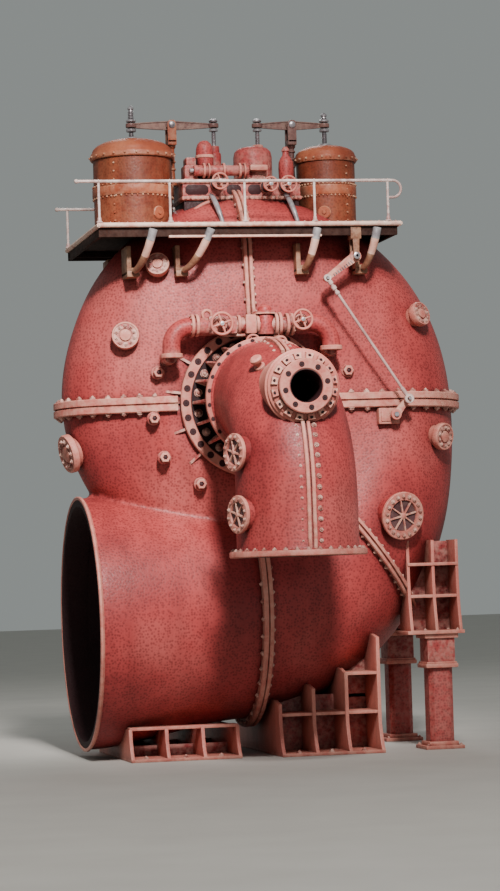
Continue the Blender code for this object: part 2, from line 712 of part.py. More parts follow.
def wheels():
    wheel("handwheel_chest_1", -0.30, -1.05, 12.98, 0.20, 0.28)
    wheel("handwheel_chest_2", 0.87, -1.05, 12.91, 0.18, 0.28)
    wheel("handwheel_chest_3", 1.29, -1.05, 12.91, 0.20, 0.28)
    wheel("handwheel_pipe_1", -0.72, -2.72, 9.60, 0.27, 0.22)
    wheel("handwheel_pipe_2", 1.11, -2.72, 9.67, 0.24, 0.22)


def pipeRun():
    y = -2.22
    arcL = [(-1.77, y, 8.92), (-1.77, y, 9.16)]
    arcL += [(-1.77 + 0.42 * (1 - math.cos(math.radians(a))), y, 9.16 + 0.42 * math.sin(math.radians(a)))
             for a in range(15, 91, 15)] + [(-0.9, y, 9.58)]
    arcR = [(0.9, y, 9.64), (1.40, y, 9.64)]
    arcR += [(1.40 + 0.46 * math.sin(math.radians(a)), y, 9.64 - 0.46 * (1 - math.cos(math.radians(a))))
             for a in range(15, 91, 15)] + [(1.86, y, 9.05)]
    parts = [pipe(arcL, 0.20, 10), pipe(arcR, 0.20, 10), rod((-1.0, y, 9.605), (1.0, y, 9.605), 0.17, 10)]
    for x, r in ((-1.33, 0.25), (-1.20, 0.25), (0.55, 0.27), (0.76, 0.27), (0.93, 0.25)):
        parts.append(rod((x, y, 9.61), (x + 0.08, y, 9.61), r, 12))
    parts += [rod((-0.72, y, 9.60), (-0.72, y - 0.36, 9.60), 0.14, 12), rod((1.11, y, 9.67), (1.11, y - 0.36, 9.67), 0.12, 12),
              box(-0.95, -0.30, y - 0.2, y + 0.2, 9.38, 9.80), box(-0.12, 0.12, y - 0.24, y + 0.16, 9.38, 9.82),
              rod((0.36, y, 9.36), (0.36, y, 9.86), 0.21, 14),
              turned((0.36, y, 0), (0, 0, 1), [(0.25, 9.84), (0.25, 9.90), (0.16, 9.92), (0.15, 10.0), (0.08, 10.06)], 14)]
    for x, z in ((-1.77, 8.94), (1.86, 9.07)):
        parts.append(rod((x, y, z - 0.05), (x, y, z + 0.05), 0.25, 14))
        parts.append(box(x - 0.17, x + 0.17, y, -1.3, z - 0.045, z + 0.045))
    parts.append(rod((0.02, -2.30, 9.42), (0.02, -2.56, 9.42), 0.06, 10))
    parts.append(rod((0.66, -2.30, 9.37), (0.66, -2.56, 9.37), 0.06, 10))
    parts.append(box(0.58, 0.74, -2.40, -2.15, 9.28, 9.55))
    for x, z in ((0.02, 9.42), (0.66, 9.37)):
        parts.append(turned((x, -2.50, z), (0, -1, 0), [(0.16, 0), (0.16, 0.05), (0.07, 0.06), (0.07, 0.09)], 12))
    hook = [(-1.02, y, 9.75)] + [(-0.95 - 0.1 * math.cos(math.radians(a)), y, 9.84 + 0.1 * math.sin(math.radians(a)))
                                 for a in range(0, 181, 36)] + [(-0.85, y, 9.75)]
    parts.append(pipe(hook, 0.04, 6))
    p = union(parts)
    cut(p, cutters(["left", "right"]))
    for x, z in ((-0.72, 9.60), (1.11, 9.67)):
        cut(p, [rod((x, y - 0.22, z), (x, y - 0.6, z), 0.052, 12)])
    keepLargest(p)
    finish(p, "steam_pipe_run", rose)


armPivot = (2.50, -2.14, 11.12)
pinTop = (1.80, 10.62)
pinLow = (3.60, 7.90)
crankPivot = (3.33, -2.02, 7.56)


def linkage():
    ax, az = armPivot[0], armPivot[2]
    dx, dz = pinTop[0] - ax, pinTop[1] - az
    L = math.hypot(dx, dz)
    u = Vector((dx / L, 0, dz / L))
    v = Vector((-u.z, 0, u.x))

    def at(s, h, y=0.0):
        p = Vector((ax, 0, az)) + u * s + v * h
        return (p.x, p.z)
    arm = plate([at(-0.05, 0.11), at(0.35, 0.09), at(L, 0.06), at(L + 0.06, 0), at(L, -0.06), at(0.35, -0.09),
                 at(-0.05, -0.11)], -2.20, -2.08)
    hub = rod((ax - 0.0, -2.20, az), (ax, -2.08, az), 0.13, 16)
    pin = rod((pinTop[0], -2.2, pinTop[1]), (pinTop[0], -2.40, pinTop[1]), 0.035, 20)
    arm = union([arm, hub, pin])
    cut(arm, [rod((ax, -2.4, az), (ax, -1.9, az), 0.044, 14)])
    finish(arm, "rocker_arm", cream, pivot=(ax, -2.14, az))
    a = Vector((pinTop[0], -2.31, pinTop[1]))
    b = Vector((pinLow[0], -2.31, pinLow[1]))
    d = (b - a).normalized()
    bar = rod(a + d * 0.05, b - d * 0.05, 0.038, 16)
    e0 = rod(a + Vector((0, 0.045, 0)), a - Vector((0, 0.045, 0)), 0.085, 16)
    e1 = rod(b + Vector((0, 0.045, 0)), b - Vector((0, 0.045, 0)), 0.11, 16)
    link = union([bar, e0, e1])
    cut(link, [rod(a + Vector((0, 0.2, 0)), a - Vector((0, 0.2, 0)), 0.042, 12),
               rod(b + Vector((0, 0.2, 0)), b - Vector((0, 0.2, 0)), 0.050, 16)])
    finish(link, "pull_rod", steel, pivot=tuple(a))
    cx, cz = crankPivot[0], crankPivot[2]
    dx, dz = pinLow[0] - cx, pinLow[1] - cz
    L = math.hypot(dx, dz)
    u = Vector((dx / L, 0, dz / L))
    v = Vector((-u.z, 0, u.x))

    def ct(s, h):
        p = Vector((cx, 0, cz)) + u * s + v * h
        return (p.x, p.z)
    web = plate([ct(-0.04, 0.09), ct(L, 0.06), ct(L + 0.06, 0), ct(L, -0.06), ct(-0.04, -0.09)], -2.20, -2.10)
    crank = union([web, rod((cx, -2.20, cz), (cx, -2.10, cz), 0.12, 16), rod((cx, -2.24, cz), (cx, -1.90, cz), 0.058, 14),
                   rod((pinLow[0], -2.15, pinLow[1]), (pinLow[0], -2.42, pinLow[1]), 0.03, 20)])
    finish(crank, "crank", cream, pivot=(cx, -2.15, cz))


casings()
lanterns()
elbows()
covers()
saddles()
sideFeet()
deck()
rails()
drums()
levers()
gear()
wheels()
pipeRun()
linkage()
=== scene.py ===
import math
import bmesh
import bpy
from mathutils import Matrix, Vector


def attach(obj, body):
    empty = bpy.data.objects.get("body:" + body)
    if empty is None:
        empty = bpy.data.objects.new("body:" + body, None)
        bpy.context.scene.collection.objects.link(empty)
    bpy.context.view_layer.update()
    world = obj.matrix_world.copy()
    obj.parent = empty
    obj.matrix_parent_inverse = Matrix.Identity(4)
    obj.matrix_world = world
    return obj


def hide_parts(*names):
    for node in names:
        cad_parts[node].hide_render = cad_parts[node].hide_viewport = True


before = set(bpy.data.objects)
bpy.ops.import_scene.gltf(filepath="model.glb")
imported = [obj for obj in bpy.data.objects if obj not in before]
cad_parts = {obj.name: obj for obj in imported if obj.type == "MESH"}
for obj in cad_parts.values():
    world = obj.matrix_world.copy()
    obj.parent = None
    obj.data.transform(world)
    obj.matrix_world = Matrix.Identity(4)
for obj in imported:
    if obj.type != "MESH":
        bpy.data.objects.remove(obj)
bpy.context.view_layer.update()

shift = Vector((-0.635, 0, 0))  # pieces are drawn from the shaft side, then moved to the frame's centre
gap = 0.0003  # left between neighbouring pieces
smoothAngle, bevelAngle = math.radians(34), 0.5
alongX, alongY, toFront, upward = (1, 0, 0), (0, 1, 0), (0, -1, 0), (0, 0, 1)


def frameOf(axis):
    w = Vector(axis).normalized()
    side = Vector(alongX) if abs(w.x) < 0.8 else Vector(upward)
    u = (side - w * side.dot(w)).normalized()
    return u, w.cross(u), w


def circle(centre, u, v, r, n):
    angles = (2 * math.pi * k / n for k in range(n))
    return [centre + (u * math.cos(a) + v * math.sin(a)) * r for a in angles]


def band(inner, outer, lo, hi, edge=(0.0, 0.0)):
    # profile of a hollow ring with its outer edges cut back by (radius, height)
    a, b = edge
    rim = [(outer, lo), (outer, hi)]
    if a:
        rim = [(outer - a, lo), (outer, lo + b), (outer, hi - b), (outer - a, hi)]
    return [(inner, lo)] + rim + [(inner, hi), (inner, lo)]


def climbing(start, end, pitch, turn):
    # the rows of one thread turn or collar, repeated along a rod
    rows = []
    while start < end:
        rows += [(r, start + h) for r, h in turn]
        start += pitch
    return rows


class Shape:
    # one mesh being put together from closed bodies, each with its own material index
    def __init__(self):
        self.bm = bmesh.new()

    def body(self, rings, mat=0, closed=False):
        rows = [[self.bm.verts.new(p) for p in ring] for ring in rings]
        n = len(rows[0])
        made = []
        for a, b in zip(rows, rows[1:] + rows[:1] if closed else rows[1:]):
            made += [self.bm.faces.new((a[j], a[(j + 1) % n], b[(j + 1) % n], b[j])) for j in range(n)]
        if not closed:
            made += [self.bm.faces.new(rows[0]), self.bm.faces.new(rows[-1])]
        bmesh.ops.recalc_face_normals(self.bm, faces=made)
        for f in made:
            f.material_index = mat

    def turned(self, at, axis, rows, mat=0, n=32, scale=1.0, lift=0.0, widen=0.0):
        # rows are (radius, height), scaled, lifted and widened; a last row equal to the first makes a ring
        u, v, w = frameOf(axis)
        ring = rows[0] == rows[-1]
        rings = [circle(Vector(at) + w * (h + lift), u, v, r * scale + widen, n) for r, h in rows]
        self.body(rings[:-1] if ring else rings, mat, closed=ring)

    def rod(self, a, b, r, mat=0, n=20, edge=0.0):
        a, b = Vector(a), Vector(b)
        length = (b - a).length
        rows = [(r, 0), (r, length)]
        if edge:
            rows = [(r - edge, 0), (r, edge), (r, length - edge), (r - edge, length)]
        self.turned(a, b - a, rows, mat, n)

    def pipe(self, path, r, mat=0, n=16):
        # r is one radius, or one for each point of the path
        pts = [Vector(p) for p in path]
        side = None
        rings = []
        for i, p in enumerate(pts):
            w = (pts[min(i + 1, len(pts) - 1)] - pts[max(i - 1, 0)]).normalized()
            side = frameOf(w)[0] if side is None else (side - w * side.dot(w)).normalized()
            rings.append(circle(p, side, w.cross(side), r[i] if isinstance(r, list) else r, n))
        self.body(rings, mat)

    def torus(self, at, axis, ringR, r, mat=0, n=48, m=10):
        u, v, w = frameOf(axis)
        spokes = circle(Vector((0, 0, 0)), u, v, 1.0, n)
        self.body([circle(Vector(at) + d * ringR, d, w, r, m) for d in spokes], mat, closed=True)

    def block(self, x0, x1, y0, y1, z0, z1, mat=0, edge=0.012):
        spans = [sorted(pair) for pair in ((x0, x1), (y0, y1), (z0, z1))]
        part = bmesh.new()
        bmesh.ops.create_cube(part, size=1.0)
        for v in part.verts:
            v.co = [lo if c < 0 else hi for c, (lo, hi) in zip(v.co, spans)]
        self.take(part, mat, edge)

    def slab(self, points, lo, hi, mat=0, plane="xz", edge=0.012):
        # a flat outline in one plane, given its thickness from lo to hi
        def put(p, d):
            return {"xz": (p[0], d, p[1]), "yz": (d, p[0], p[1]), "xy": (p[0], p[1], d)}[plane]
        part = bmesh.new()
        a = [part.verts.new(put(p, lo)) for p in points]
        b = [part.verts.new(put(p, hi)) for p in points]
        n = len(points)
        for ring in [a, b] + [(a[j], a[(j + 1) % n], b[(j + 1) % n], b[j]) for j in range(n)]:
            part.faces.new(ring)
        bmesh.ops.recalc_face_normals(part, faces=part.faces)
        self.take(part, mat, edge)

    def bar(self, pairs, y0, y1, mat=0):
        # a flat bar in the xz plane, with an upper and a lower edge point at each station
        rings = [((a, y0), (a, y1), (b, y1), (b, y0)) for a, b in pairs]
        self.body([[Vector((p.x, y, p.z)) for p, y in ring] for ring in rings], mat)

    def take(self, part, mat, edge):
        sharp = [e for e in part.edges if e.calc_face_angle(0.0) > bevelAngle]
        bmesh.ops.bevel(part, geom=sharp, offset=edge, segments=2, profile=0.6, affect="EDGES",
                        clamp_overlap=True)
        for f in part.faces:
            f.material_index = mat
        me = bpy.data.meshes.new("part")
        part.to_mesh(me)
        part.free()
        self.bm.from_mesh(me)
        bpy.data.meshes.remove(me)

    def takeObject(self, ob):
        self.bm.from_mesh(ob.data)
        for f in self.bm.faces:
            f.material_index = 0
        bpy.data.objects.remove(ob, do_unlink=True)

    def mirrored(self):
        other = Shape()
        other.bm = self.bm.copy()
        bmesh.ops.scale(other.bm, vec=(1, -1, 1), verts=other.bm.verts)
        bmesh.ops.reverse_faces(other.bm, faces=other.bm.faces)
        return other

    def object(self, name="piece"):
        me = bpy.data.meshes.new(name)
        self.bm.to_mesh(me)
        self.bm.free()
        return linked(name, me)


def linked(name, data):
    ob = bpy.data.objects.new(name, data)
    bpy.context.scene.collection.objects.link(ob)
    return ob


def place(shape, name, mats, replaced=(), body="machine"):
    bm = shape.bm
    bmesh.ops.translate(bm, vec=shift, verts=bm.verts)
    for f in bm.faces:
        f.smooth = True
    for e in bm.edges:
        e.smooth = len(e.link_faces) == 2 and e.calc_face_angle(0.0) < smoothAngle
    ob = shape.object(name)
    for m in mats:
        ob.data.materials.append(m)
    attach(ob, body)
    if replaced:
        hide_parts(*replaced)


def applyModifier(ob, kind, **settings):
    mod = ob.modifiers.new("step", kind)
    for key, value in settings.items():
        setattr(mod, key, value)
    me = bpy.data.meshes.new_from_object(ob.evaluated_get(bpy.context.evaluated_depsgraph_get()))
    ob.modifiers.remove(mod)
    old, ob.data = ob.data, me
    bpy.data.meshes.remove(old)


def carve(ob, tool, op="DIFFERENCE"):
    applyModifier(ob, "BOOLEAN", object=tool, operation=op, solver="EXACT")
    bpy.data.objects.remove(tool, do_unlink=True)


def wire(tree, kind, x, y, **values):
    # a value is one of the node's own settings, or else the constant of the input with that name
    node = tree.nodes.new(kind)
    node.location = (x, y)
    for key, value in values.items():
        if hasattr(node, key):
            setattr(node, key, value)
        else:
            node.inputs[key.replace("_", " ").title()].default_value = value
    return node


coat = {"gloss": 0.30, "patchDetail": 5.0, "dots": 16.0, "dotSpread": 0.75, "dotDeep": 0.42, "chips": 7.0,
        "streak": (2.4, 2.4, 0.22), "streakDark": 0.45, "shadeReach": 0.45, "recessShade": 0.9, "fine": 26.0,
        "lump": 0.02}  # shared by every paint


def paint(name, base, deep, pale, stipple=0.5, edge=(0.80, 0.52, 0.42), wear=0.6, rough=0.48, metal=0.0,
          grime=0.5, patch=0.32, bump=0.14):
    # worn oil paint on rough castings: slow patches, fine stipple, streaks, painted shade in corners and
    # recesses, pale edges
    mat = bpy.data.materials.new(name)
    mat.use_nodes = True
    t = mat.node_tree
    t.nodes.clear()
    link = t.links.new
    out = wire(t, "ShaderNodeOutputMaterial", 1400, 0)
    bsdf = wire(t, "ShaderNodeBsdfPrincipled", 1150, 0, metallic=metal)
    bsdf.inputs["Specular IOR Level"].default_value = coat["gloss"]
    link(bsdf.outputs[0], out.inputs[0])
    co = wire(t, "ShaderNodeTexCoord", -1300, 0)

    def mapped(scale, y):
        m = wire(t, "ShaderNodeMapping", -1100, y, scale=scale)
        link(co.outputs["Object"], m.inputs["Vector"])
        return m.outputs[0]

    def noise(vec, scale, detail, y, roughness=0.55):
        n = wire(t, "ShaderNodeTexNoise", -850, y, scale=scale, detail=detail, roughness=roughness)
        link(vec, n.inputs["Vector"])
        return n.outputs["Fac"]

    def ramp(fac, stops, y):
        r = wire(t, "ShaderNodeValToRGB", -600, y)
        els = r.color_ramp.elements
        while len(els) < len(stops):
            els.new(0.5)
        for el, (pos, tone) in zip(els, stops):
            el.position = pos
            el.color = (*tone, 1) if isinstance(tone, tuple) else (tone, tone, tone, 1)
        link(fac, r.inputs[0])
        return r.outputs[0]

    def sums(kind, values, x, y):
        m = wire(t, "ShaderNodeMath", x, y, operation=kind)
        for sock, value in zip(m.inputs, values):
            if isinstance(value, float):
                sock.default_value = value
            else:
                link(value, sock)
        return m.outputs[0]

    def mix(kind, fac, a, b, x):
        m = wire(t, "ShaderNodeMix", x, 200, data_type="RGBA", blend_type=kind)
        for sock, value in ((m.inputs[0], fac), (m.inputs[6], a), (m.inputs[7], b)):
            if isinstance(value, float):
                sock.default_value = value
            elif isinstance(value, tuple):
                sock.default_value = (*value, 1)
            else:
                link(value, sock)
        return m.outputs[2]
    plain = mapped((1, 1, 1), 0)
    patches = noise(plain, patch, coat["patchDetail"], 300)
    colour = ramp(patches, [(0.22, deep), (0.48, base), (0.80, pale)], 300)
    dots = wire(t, "ShaderNodeTexVoronoi", -850, 0, feature="F1", scale=coat["dots"],
                randomness=coat["dotSpread"])
    link(plain, dots.inputs["Vector"])
    dotMask = ramp(dots.outputs["Distance"], [(0.20, 1), (0.55, 0)], 0)
    amount = sums("MULTIPLY", (dotMask, stipple), -350, 0)
    colour = mix("MIX", amount, colour, tuple(c * coat["dotDeep"] for c in deep), -150)
    streak = noise(mapped(coat["streak"], -300), 1.0, 6.0, -300, 0.6)
    streaks = ramp(streak, [(0.42, 1), (0.70, 1 - coat["streakDark"] * grime)], -300)
    colour = mix("MULTIPLY", 1.0, colour, streaks, 50)
    # painted shade: ambient occlusion darkens the colour in corners, creases and recesses
    recess = wire(t, "ShaderNodeAmbientOcclusion", -850, -550, samples=5, distance=coat["shadeReach"])
    aoShade = ramp(recess.outputs["AO"], [(0.18, tuple(0.22 + 0.1 * c for c in deep)), (0.80, 1)], -550)
    colour = mix("MULTIPLY", coat["recessShade"], colour, aoShade, 250)
    geo = wire(t, "ShaderNodeNewGeometry", -850, -800)
    ridge = ramp(geo.outputs["Pointiness"], [(0.53, 0), (0.62, 1)], -800)
    chip = ramp(noise(plain, coat["chips"], 6.0, -1000), [(0.38, 0), (0.60, 1)], -1000)
    worn = sums("MULTIPLY", (sums("MULTIPLY", (ridge, chip), -250, -800), wear), -50, -800)
    colour = mix("MIX", worn, colour, edge, 450)
    link(colour, bsdf.inputs["Base Color"])
    fine = noise(plain, coat["fine"], 4.0, -1250)
    dull = ramp(fine, [(0.3, max(0.05, rough - 0.10)), (0.7, min(1.0, rough + 0.14))], -1250)
    link(dull, bsdf.inputs["Roughness"])
    lumps = wire(t, "ShaderNodeBump", 700, -500, strength=bump, distance=coat["lump"])
    link(sums("MULTIPLY_ADD", (fine, 0.5, dots.outputs["Distance"]), 0, -1250), lumps.inputs["Height"])
    link(lumps.outputs[0], bsdf.inputs["Normal"])
    return mat


rose = paint("casingRose", (0.40, 0.052, 0.050), (0.17, 0.014, 0.018), (0.56, 0.135, 0.120))
# near-black paint for insides and hollows: painted shade
insideShade = paint("casingInsideShade", (0.030, 0.008, 0.010), (0.012, 0.004, 0.005), (0.05, 0.014, 0.016),
                   stipple=0.2, wear=0.0, rough=0.75)
salmon = paint("flangeSalmon", (0.60, 0.185, 0.145), (0.42, 0.095, 0.080), (0.72, 0.30, 0.23),
               stipple=0.12, edge=(0.86, 0.60, 0.46), wear=0.45, patch=0.55)
nutPaint = paint("nutSalmon", (0.36, 0.105, 0.085), (0.18, 0.038, 0.034), (0.54, 0.22, 0.17),
                 stipple=0.0, edge=(0.84, 0.56, 0.46), patch=2.5)
# near-black paint standing for shadow in bolt holes, bores, pockets and behind wheels
paintedShadow = paint("boltShadow", (0.035, 0.007, 0.009), (0.012, 0.003, 0.004), (0.07, 0.016, 0.018),
                 stipple=0.0, wear=0.0, rough=0.6)
# dark paint for the dished middles of covers: painted shade
dishShade = paint("dishShadow", (0.11, 0.045, 0.05), (0.05, 0.016, 0.02), (0.20, 0.10, 0.11),
                 stipple=0.1, wear=0.1, rough=0.55, patch=1.2)
brown = paint("drumBrown", (0.21, 0.040, 0.018), (0.10, 0.014, 0.009), (0.33, 0.088, 0.038),
              stipple=0.35, edge=(0.70, 0.34, 0.18), wear=0.3, grime=1.0, patch=0.8)
brownLip = paint("drumLip", (0.34, 0.076, 0.034), (0.20, 0.036, 0.020), (0.52, 0.17, 0.085),
                 stipple=0.15, edge=(0.90, 0.62, 0.42), wear=0.5, patch=0.9)
railPaint = paint("railPale", (0.56, 0.36, 0.33), (0.34, 0.17, 0.16), (0.74, 0.57, 0.52),
                  stipple=0.0, edge=(0.90, 0.80, 0.74), rough=0.34, patch=1.2)
beamPaint = paint("beamUmber", (0.19, 0.090, 0.080), (0.09, 0.038, 0.040), (0.30, 0.16, 0.13),
                  stipple=0.25, edge=(0.46, 0.31, 0.24), wear=0.3, rough=0.42, patch=1.6)
deckPaint = paint("deckOchre", (0.72, 0.36, 0.28), (0.52, 0.21, 0.14), (0.86, 0.55, 0.45),
                  stipple=0.12, edge=(0.93, 0.74, 0.60), wear=0.7, patch=0.7)
# brown darkened to paint in the shade under the deck, on the bracket feet and the hanger
shoeShadedBrown = paint("shoeBrownShaded", (0.26, 0.105, 0.060), (0.12, 0.040, 0.026), (0.42, 0.21, 0.13),
                  stipple=0.25, edge=(0.72, 0.46, 0.30), patch=1.3)
# near-black paint for the deck's underside: painted shade
underShade = paint("deckUnderShade", (0.030, 0.009, 0.006), (0.012, 0.004, 0.004), (0.06, 0.020, 0.012),
                   stipple=0.3, wear=0.05, rough=0.85)
steel = paint("wornSteel", (0.36, 0.32, 0.34), (0.14, 0.11, 0.13), (0.60, 0.56, 0.58),
              stipple=0.0, edge=(0.88, 0.88, 0.90), wear=0.7, rough=0.32, metal=0.7, patch=1.6, bump=0.12)
stayGrey = paint("stayGrey", (0.30, 0.27, 0.29), (0.12, 0.10, 0.11), (0.50, 0.46, 0.47),
                 stipple=0.0, edge=(0.84, 0.82, 0.80), wear=0.7, rough=0.36, metal=0.3, patch=1.4, bump=0.12)
print("materials ready")


nutSizes = {"Across": 0.1, "Height": 0.07, "Stud": 0.06, "Washer": 0.02, "Sides": 6}
nutForm = {"washerSides": 10, "washerGrow": 1.28, "domeSides": 8, "domeRings": 4, "seed": 11, "turn": 6.28}


def nutTree():
    # nuts on a washer with a domed stud end, one on every point, turned along the point's aim
    tree = bpy.data.node_groups.new("nutsOnPoints", "GeometryNodeTree")

    def socket(label, way, kind):
        return tree.interface.new_socket(label, in_out=way, socket_type="NodeSocket" + kind)
    socket("Geometry", "INPUT", "Geometry")
    for label, value in nutSizes.items():
        socket(label, "INPUT", "Int" if label == "Sides" else "Float").default_value = value
    socket("Paint", "INPUT", "Material")
    socket("Geometry", "OUTPUT", "Geometry")

    def add(kind, feeds, **settings):
        # feeds gives each input another node's output, or else its constant
        node = tree.nodes.new(kind)
        for key, value in settings.items():
            setattr(node, key, value)
        for key, value in feeds.items():
            if isinstance(value, bpy.types.NodeSocket):
                tree.links.new(value, node.inputs[key])
            else:
                node.inputs[key].default_value = value
        return node

    def times(src, k):
        return add("ShaderNodeMath", {0: src, 1: k}, operation="MULTIPLY").outputs[0]

    def lifted(mesh, z):
        rise = add("ShaderNodeCombineXYZ", {2: z})
        return add("GeometryNodeTransform",
                   {"Geometry": mesh.outputs[0], "Translation": rise.outputs[0]}).outputs[0]
    given = tree.nodes.new("NodeGroupInput").outputs
    nut = add("GeometryNodeMeshCylinder",
              {"Vertices": given["Sides"], "Radius": given["Across"], "Depth": given["Height"]})
    ring = add("GeometryNodeMeshCylinder",
               {"Vertices": nutForm["washerSides"], "Radius": times(given["Across"], nutForm["washerGrow"]),
                "Depth": given["Washer"]})
    dome = add("GeometryNodeMeshUVSphere",
               {"Segments": nutForm["domeSides"], "Rings": nutForm["domeRings"], "Radius": given["Stud"]})
    join = tree.nodes.new("GeometryNodeJoinGeometry")
    for mesh, label, share in ((nut, "Height", 0.5), (ring, "Washer", 0.4), (dome, "Height", 1.0)):
        tree.links.new(lifted(mesh, times(given[label], share)), join.inputs[0])
    aim = add("GeometryNodeInputNamedAttribute", {"Name": "aim"}, data_type="FLOAT_VECTOR")
    align = add("FunctionNodeAlignRotationToVector", {"Vector": aim.outputs[0]}, axis="Z")
    spin = add("FunctionNodeRandomValue", {3: nutForm["turn"], "Seed": nutForm["seed"]}, data_type="FLOAT")
    turn = add("FunctionNodeAxisAngleToRotation", {"Axis": upward, "Angle": spin.outputs[1]})
    twist = add("FunctionNodeRotateRotation", {0: align.outputs[0], 1: turn.outputs[0]},
                rotation_space="LOCAL")
    size = add("GeometryNodeInputNamedAttribute", {"Name": "size"}, data_type="FLOAT")
    put = add("GeometryNodeInstanceOnPoints", {"Points": given["Geometry"], "Instance": join.outputs[0],
                                               "Rotation": twist.outputs[0], "Scale": size.outputs[0]})
    real = add("GeometryNodeRealizeInstances", {0: put.outputs[0]})
    dress = add("GeometryNodeSetMaterial", {"Geometry": real.outputs[0], "Material": given["Paint"]})
    add("NodeGroupOutput", {0: dress.outputs[0]})
    return tree


nuts = nutTree()
nutRows, holeRows, bayRows = [], [], []  # (place, direction, size) of the joint nuts, sunk bolts and bay nuts


def nutField(name, points, mat, slot="casing_paint", **sizes):
    me = bpy.data.meshes.new(name)
    me.from_pydata([tuple(Vector(p) + shift) for p, d, size in points], [], [])
    aims = me.attributes.new("aim", "FLOAT_VECTOR", "POINT")
    aims.data.foreach_set("vector", [c for p, d, size in points for c in Vector(d).normalized()])
    scales = me.attributes.new("size", "FLOAT", "POINT")
    scales.data.foreach_set("value", [size for p, d, size in points])
    seed = linked(name + "Points", me)
    mod = seed.modifiers.new("nuts", "NODES")
    mod.node_group = nuts
    values = {**nutSizes, **sizes, "Paint": mat}
    for item in nuts.interface.items_tree:
        if item.item_type == "SOCKET" and item.in_out == "INPUT" and item.name in values:
            mod[item.identifier] = values[item.name]
    done = bpy.data.meshes.new_from_object(seed.evaluated_get(bpy.context.evaluated_depsgraph_get()))
    seed.modifiers.remove(mod)
    bpy.data.objects.remove(seed, do_unlink=True)
    ob = linked(name, done)
    for f in done.polygons:
        f.use_smooth = False
    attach(ob, "machine")


def circlePoints(at, axis, r, count, lift=0.0, start=0.0, size=1.0):
    u, v, w = frameOf(axis)
    angles = [start + 2 * math.pi * k / count for k in range(count)]
    return [(Vector(at) + w * lift + (u * math.cos(a) + v * math.sin(a)) * r, w, size) for a in angles]


casing = {"shaftX": 0.15, "shaftZ": 7.92, "coverHalf": 1.72, "boreR": 0.9, "ringR": 1.68, "wall": 0.16,
          "mouthX": -3.66, "mouthZ": 3.06, "mouthR": 2.86, "flange": 0.20, "step": 0.13, "section": -52.0,
          "coverR": 1.95, "nutEvery": 0.36, "nutSize": 0.68, "stationStep": 2.5, "around": 52,
          "voxel": 0.062, "fairing": 7}
# (degrees round the shaft, metres from it)
outerRadius = [(-90, 7.15), (-75, 6.86), (-60, 6.45), (-47, 6.02), (-31, 5.55), (-16, 5.2), (0, 5.02),
               (30, 4.97), (60, 4.90), (90, 4.83), (112, 4.65), (135, 4.38), (155, 4.16), (180, 4.05),
               (200, 3.98), (225, 3.9), (270, 3.67)]
tubeRadius = [(-90, 2.5), (-60, 2.32), (-31, 2.05), (0, 1.78), (45, 1.6), (90, 1.48), (135, 1.35),
              (180, 1.22), (210, 1.35), (270, 1.72)]
shaft = Vector((casing["shaftX"], 0, casing["shaftZ"]))
# (degrees, thickness, nut spacing, nut size)
joints = {"mouth": (-90, 0.11, 0.28, 0.52), "low": (casing["section"], 0.09, 0.23, 0.46),
          "right": (0, 0.17, casing["nutEvery"], casing["nutSize"]),
          "crownRight": (90, 0.10, 0.20, 0.44), "crownLeft": (90, 0.10, 0.40, 0.36),
          "left": (180, 0.17, casing["nutEvery"], casing["nutSize"])}
shells = (("lower_shell", "lower_casing", "mouth", "low", ()),
          ("side_shell", "side_casing", "low", "right", ((-11, 54, 0.31),)),
          ("upper_right_shell", "upper_casing_right", "right", "crownRight", ((26, 53, 0.28),)),
          ("upper_left_shell", "upper_casing_left", "crownLeft", "left", ((151, 78, 0.31), (123, 68, 0.27))))
manhole = {"phi": -40, "psi": 80, "axis": (0.30, -0.94, -0.15), "neck": 0.46, "lip": 0.50, "r": 0.54,
           "up": 0.42}


def between(rows, x):
    # a smooth curve through the rows, held at its ends
    n = len(rows)
    if x <= rows[0][0]:
        return rows[0][1]
    if x >= rows[-1][0]:
        return rows[-1][1]
    i = max(k for k in range(n - 1) if rows[k][0] <= x)
    (x0, y0), (x1, y1) = rows[i], rows[i + 1]
    xa, ya = rows[i - 1] if i > 0 else (2 * x0 - x1, 2 * y0 - y1)
    xb, yb = rows[i + 2] if i + 2 < n else (2 * x1 - x0, 2 * y1 - y0)
    m0, m1, h = (y1 - ya) / (x1 - xa), (yb - y0) / (xb - x0), x1 - x0
    t = (x - x0) / h
    return (y0 * (2 * t ** 3 - 3 * t ** 2 + 1) + h * m0 * (t ** 3 - 2 * t ** 2 + t)
            + y1 * (3 * t ** 2 - 2 * t ** 3) + h * m1 * (t ** 3 - t ** 2))


def radial(phi):
    a = math.radians(phi)
    return Vector((math.cos(a), 0, math.sin(a)))


def sweepWay(phi):
    a = math.radians(phi)
    return Vector((-math.sin(a), 0, math.cos(a)))


def section(phi, grow=0.0, step=0.0, centre=True):
    # outline of the scroll in its own plane: flat front, round back of the tube, flat rear
    outer = between(outerRadius, phi) + grow
    rho = between(tubeRadius, phi) + grow
    c = outer - rho
    y = casing["coverHalf"] + step
    ax = casing["coverR"] - c
    base = math.atan2(y, ax)
    psi0 = min(base - math.acos(min(1.0, rho / math.hypot(ax, y))), math.radians(150))
    front = [(1.74, -y), (casing["coverR"], -y)]
    if centre:
        front = [(casing["boreR"], -casing["coverHalf"]), (1.72, -casing["coverHalf"])] + front
    n = casing["around"]
    arc = []
    for k in range(n + 1):
        psi = psi0 * (1 - 2 * k / n)
        arc.append((c + rho * math.cos(psi), -rho * math.sin(psi)))
    return front + arc + [(r, -yy) for r, yy in reversed(front)]


def station(phi, grow=0.0, step=0.0, off=0.0, centre=True):
    n, d = sweepWay(phi), radial(phi)
    return [shaft + d * r + Vector((0, y, 0)) + n * off for r, y in section(phi, grow, step, centre)]


def skin(shape, phi0, phi1, back=gap / 2):
    count = max(2, round((phi1 - phi0) / casing["stationStep"]))
    rings = [station(phi0, off=back)]
    rings += [station(phi0 + (phi1 - phi0) * k / count) for k in range(1, count)]
    rings.append(station(phi1, off=-back))
    shape.body(rings)


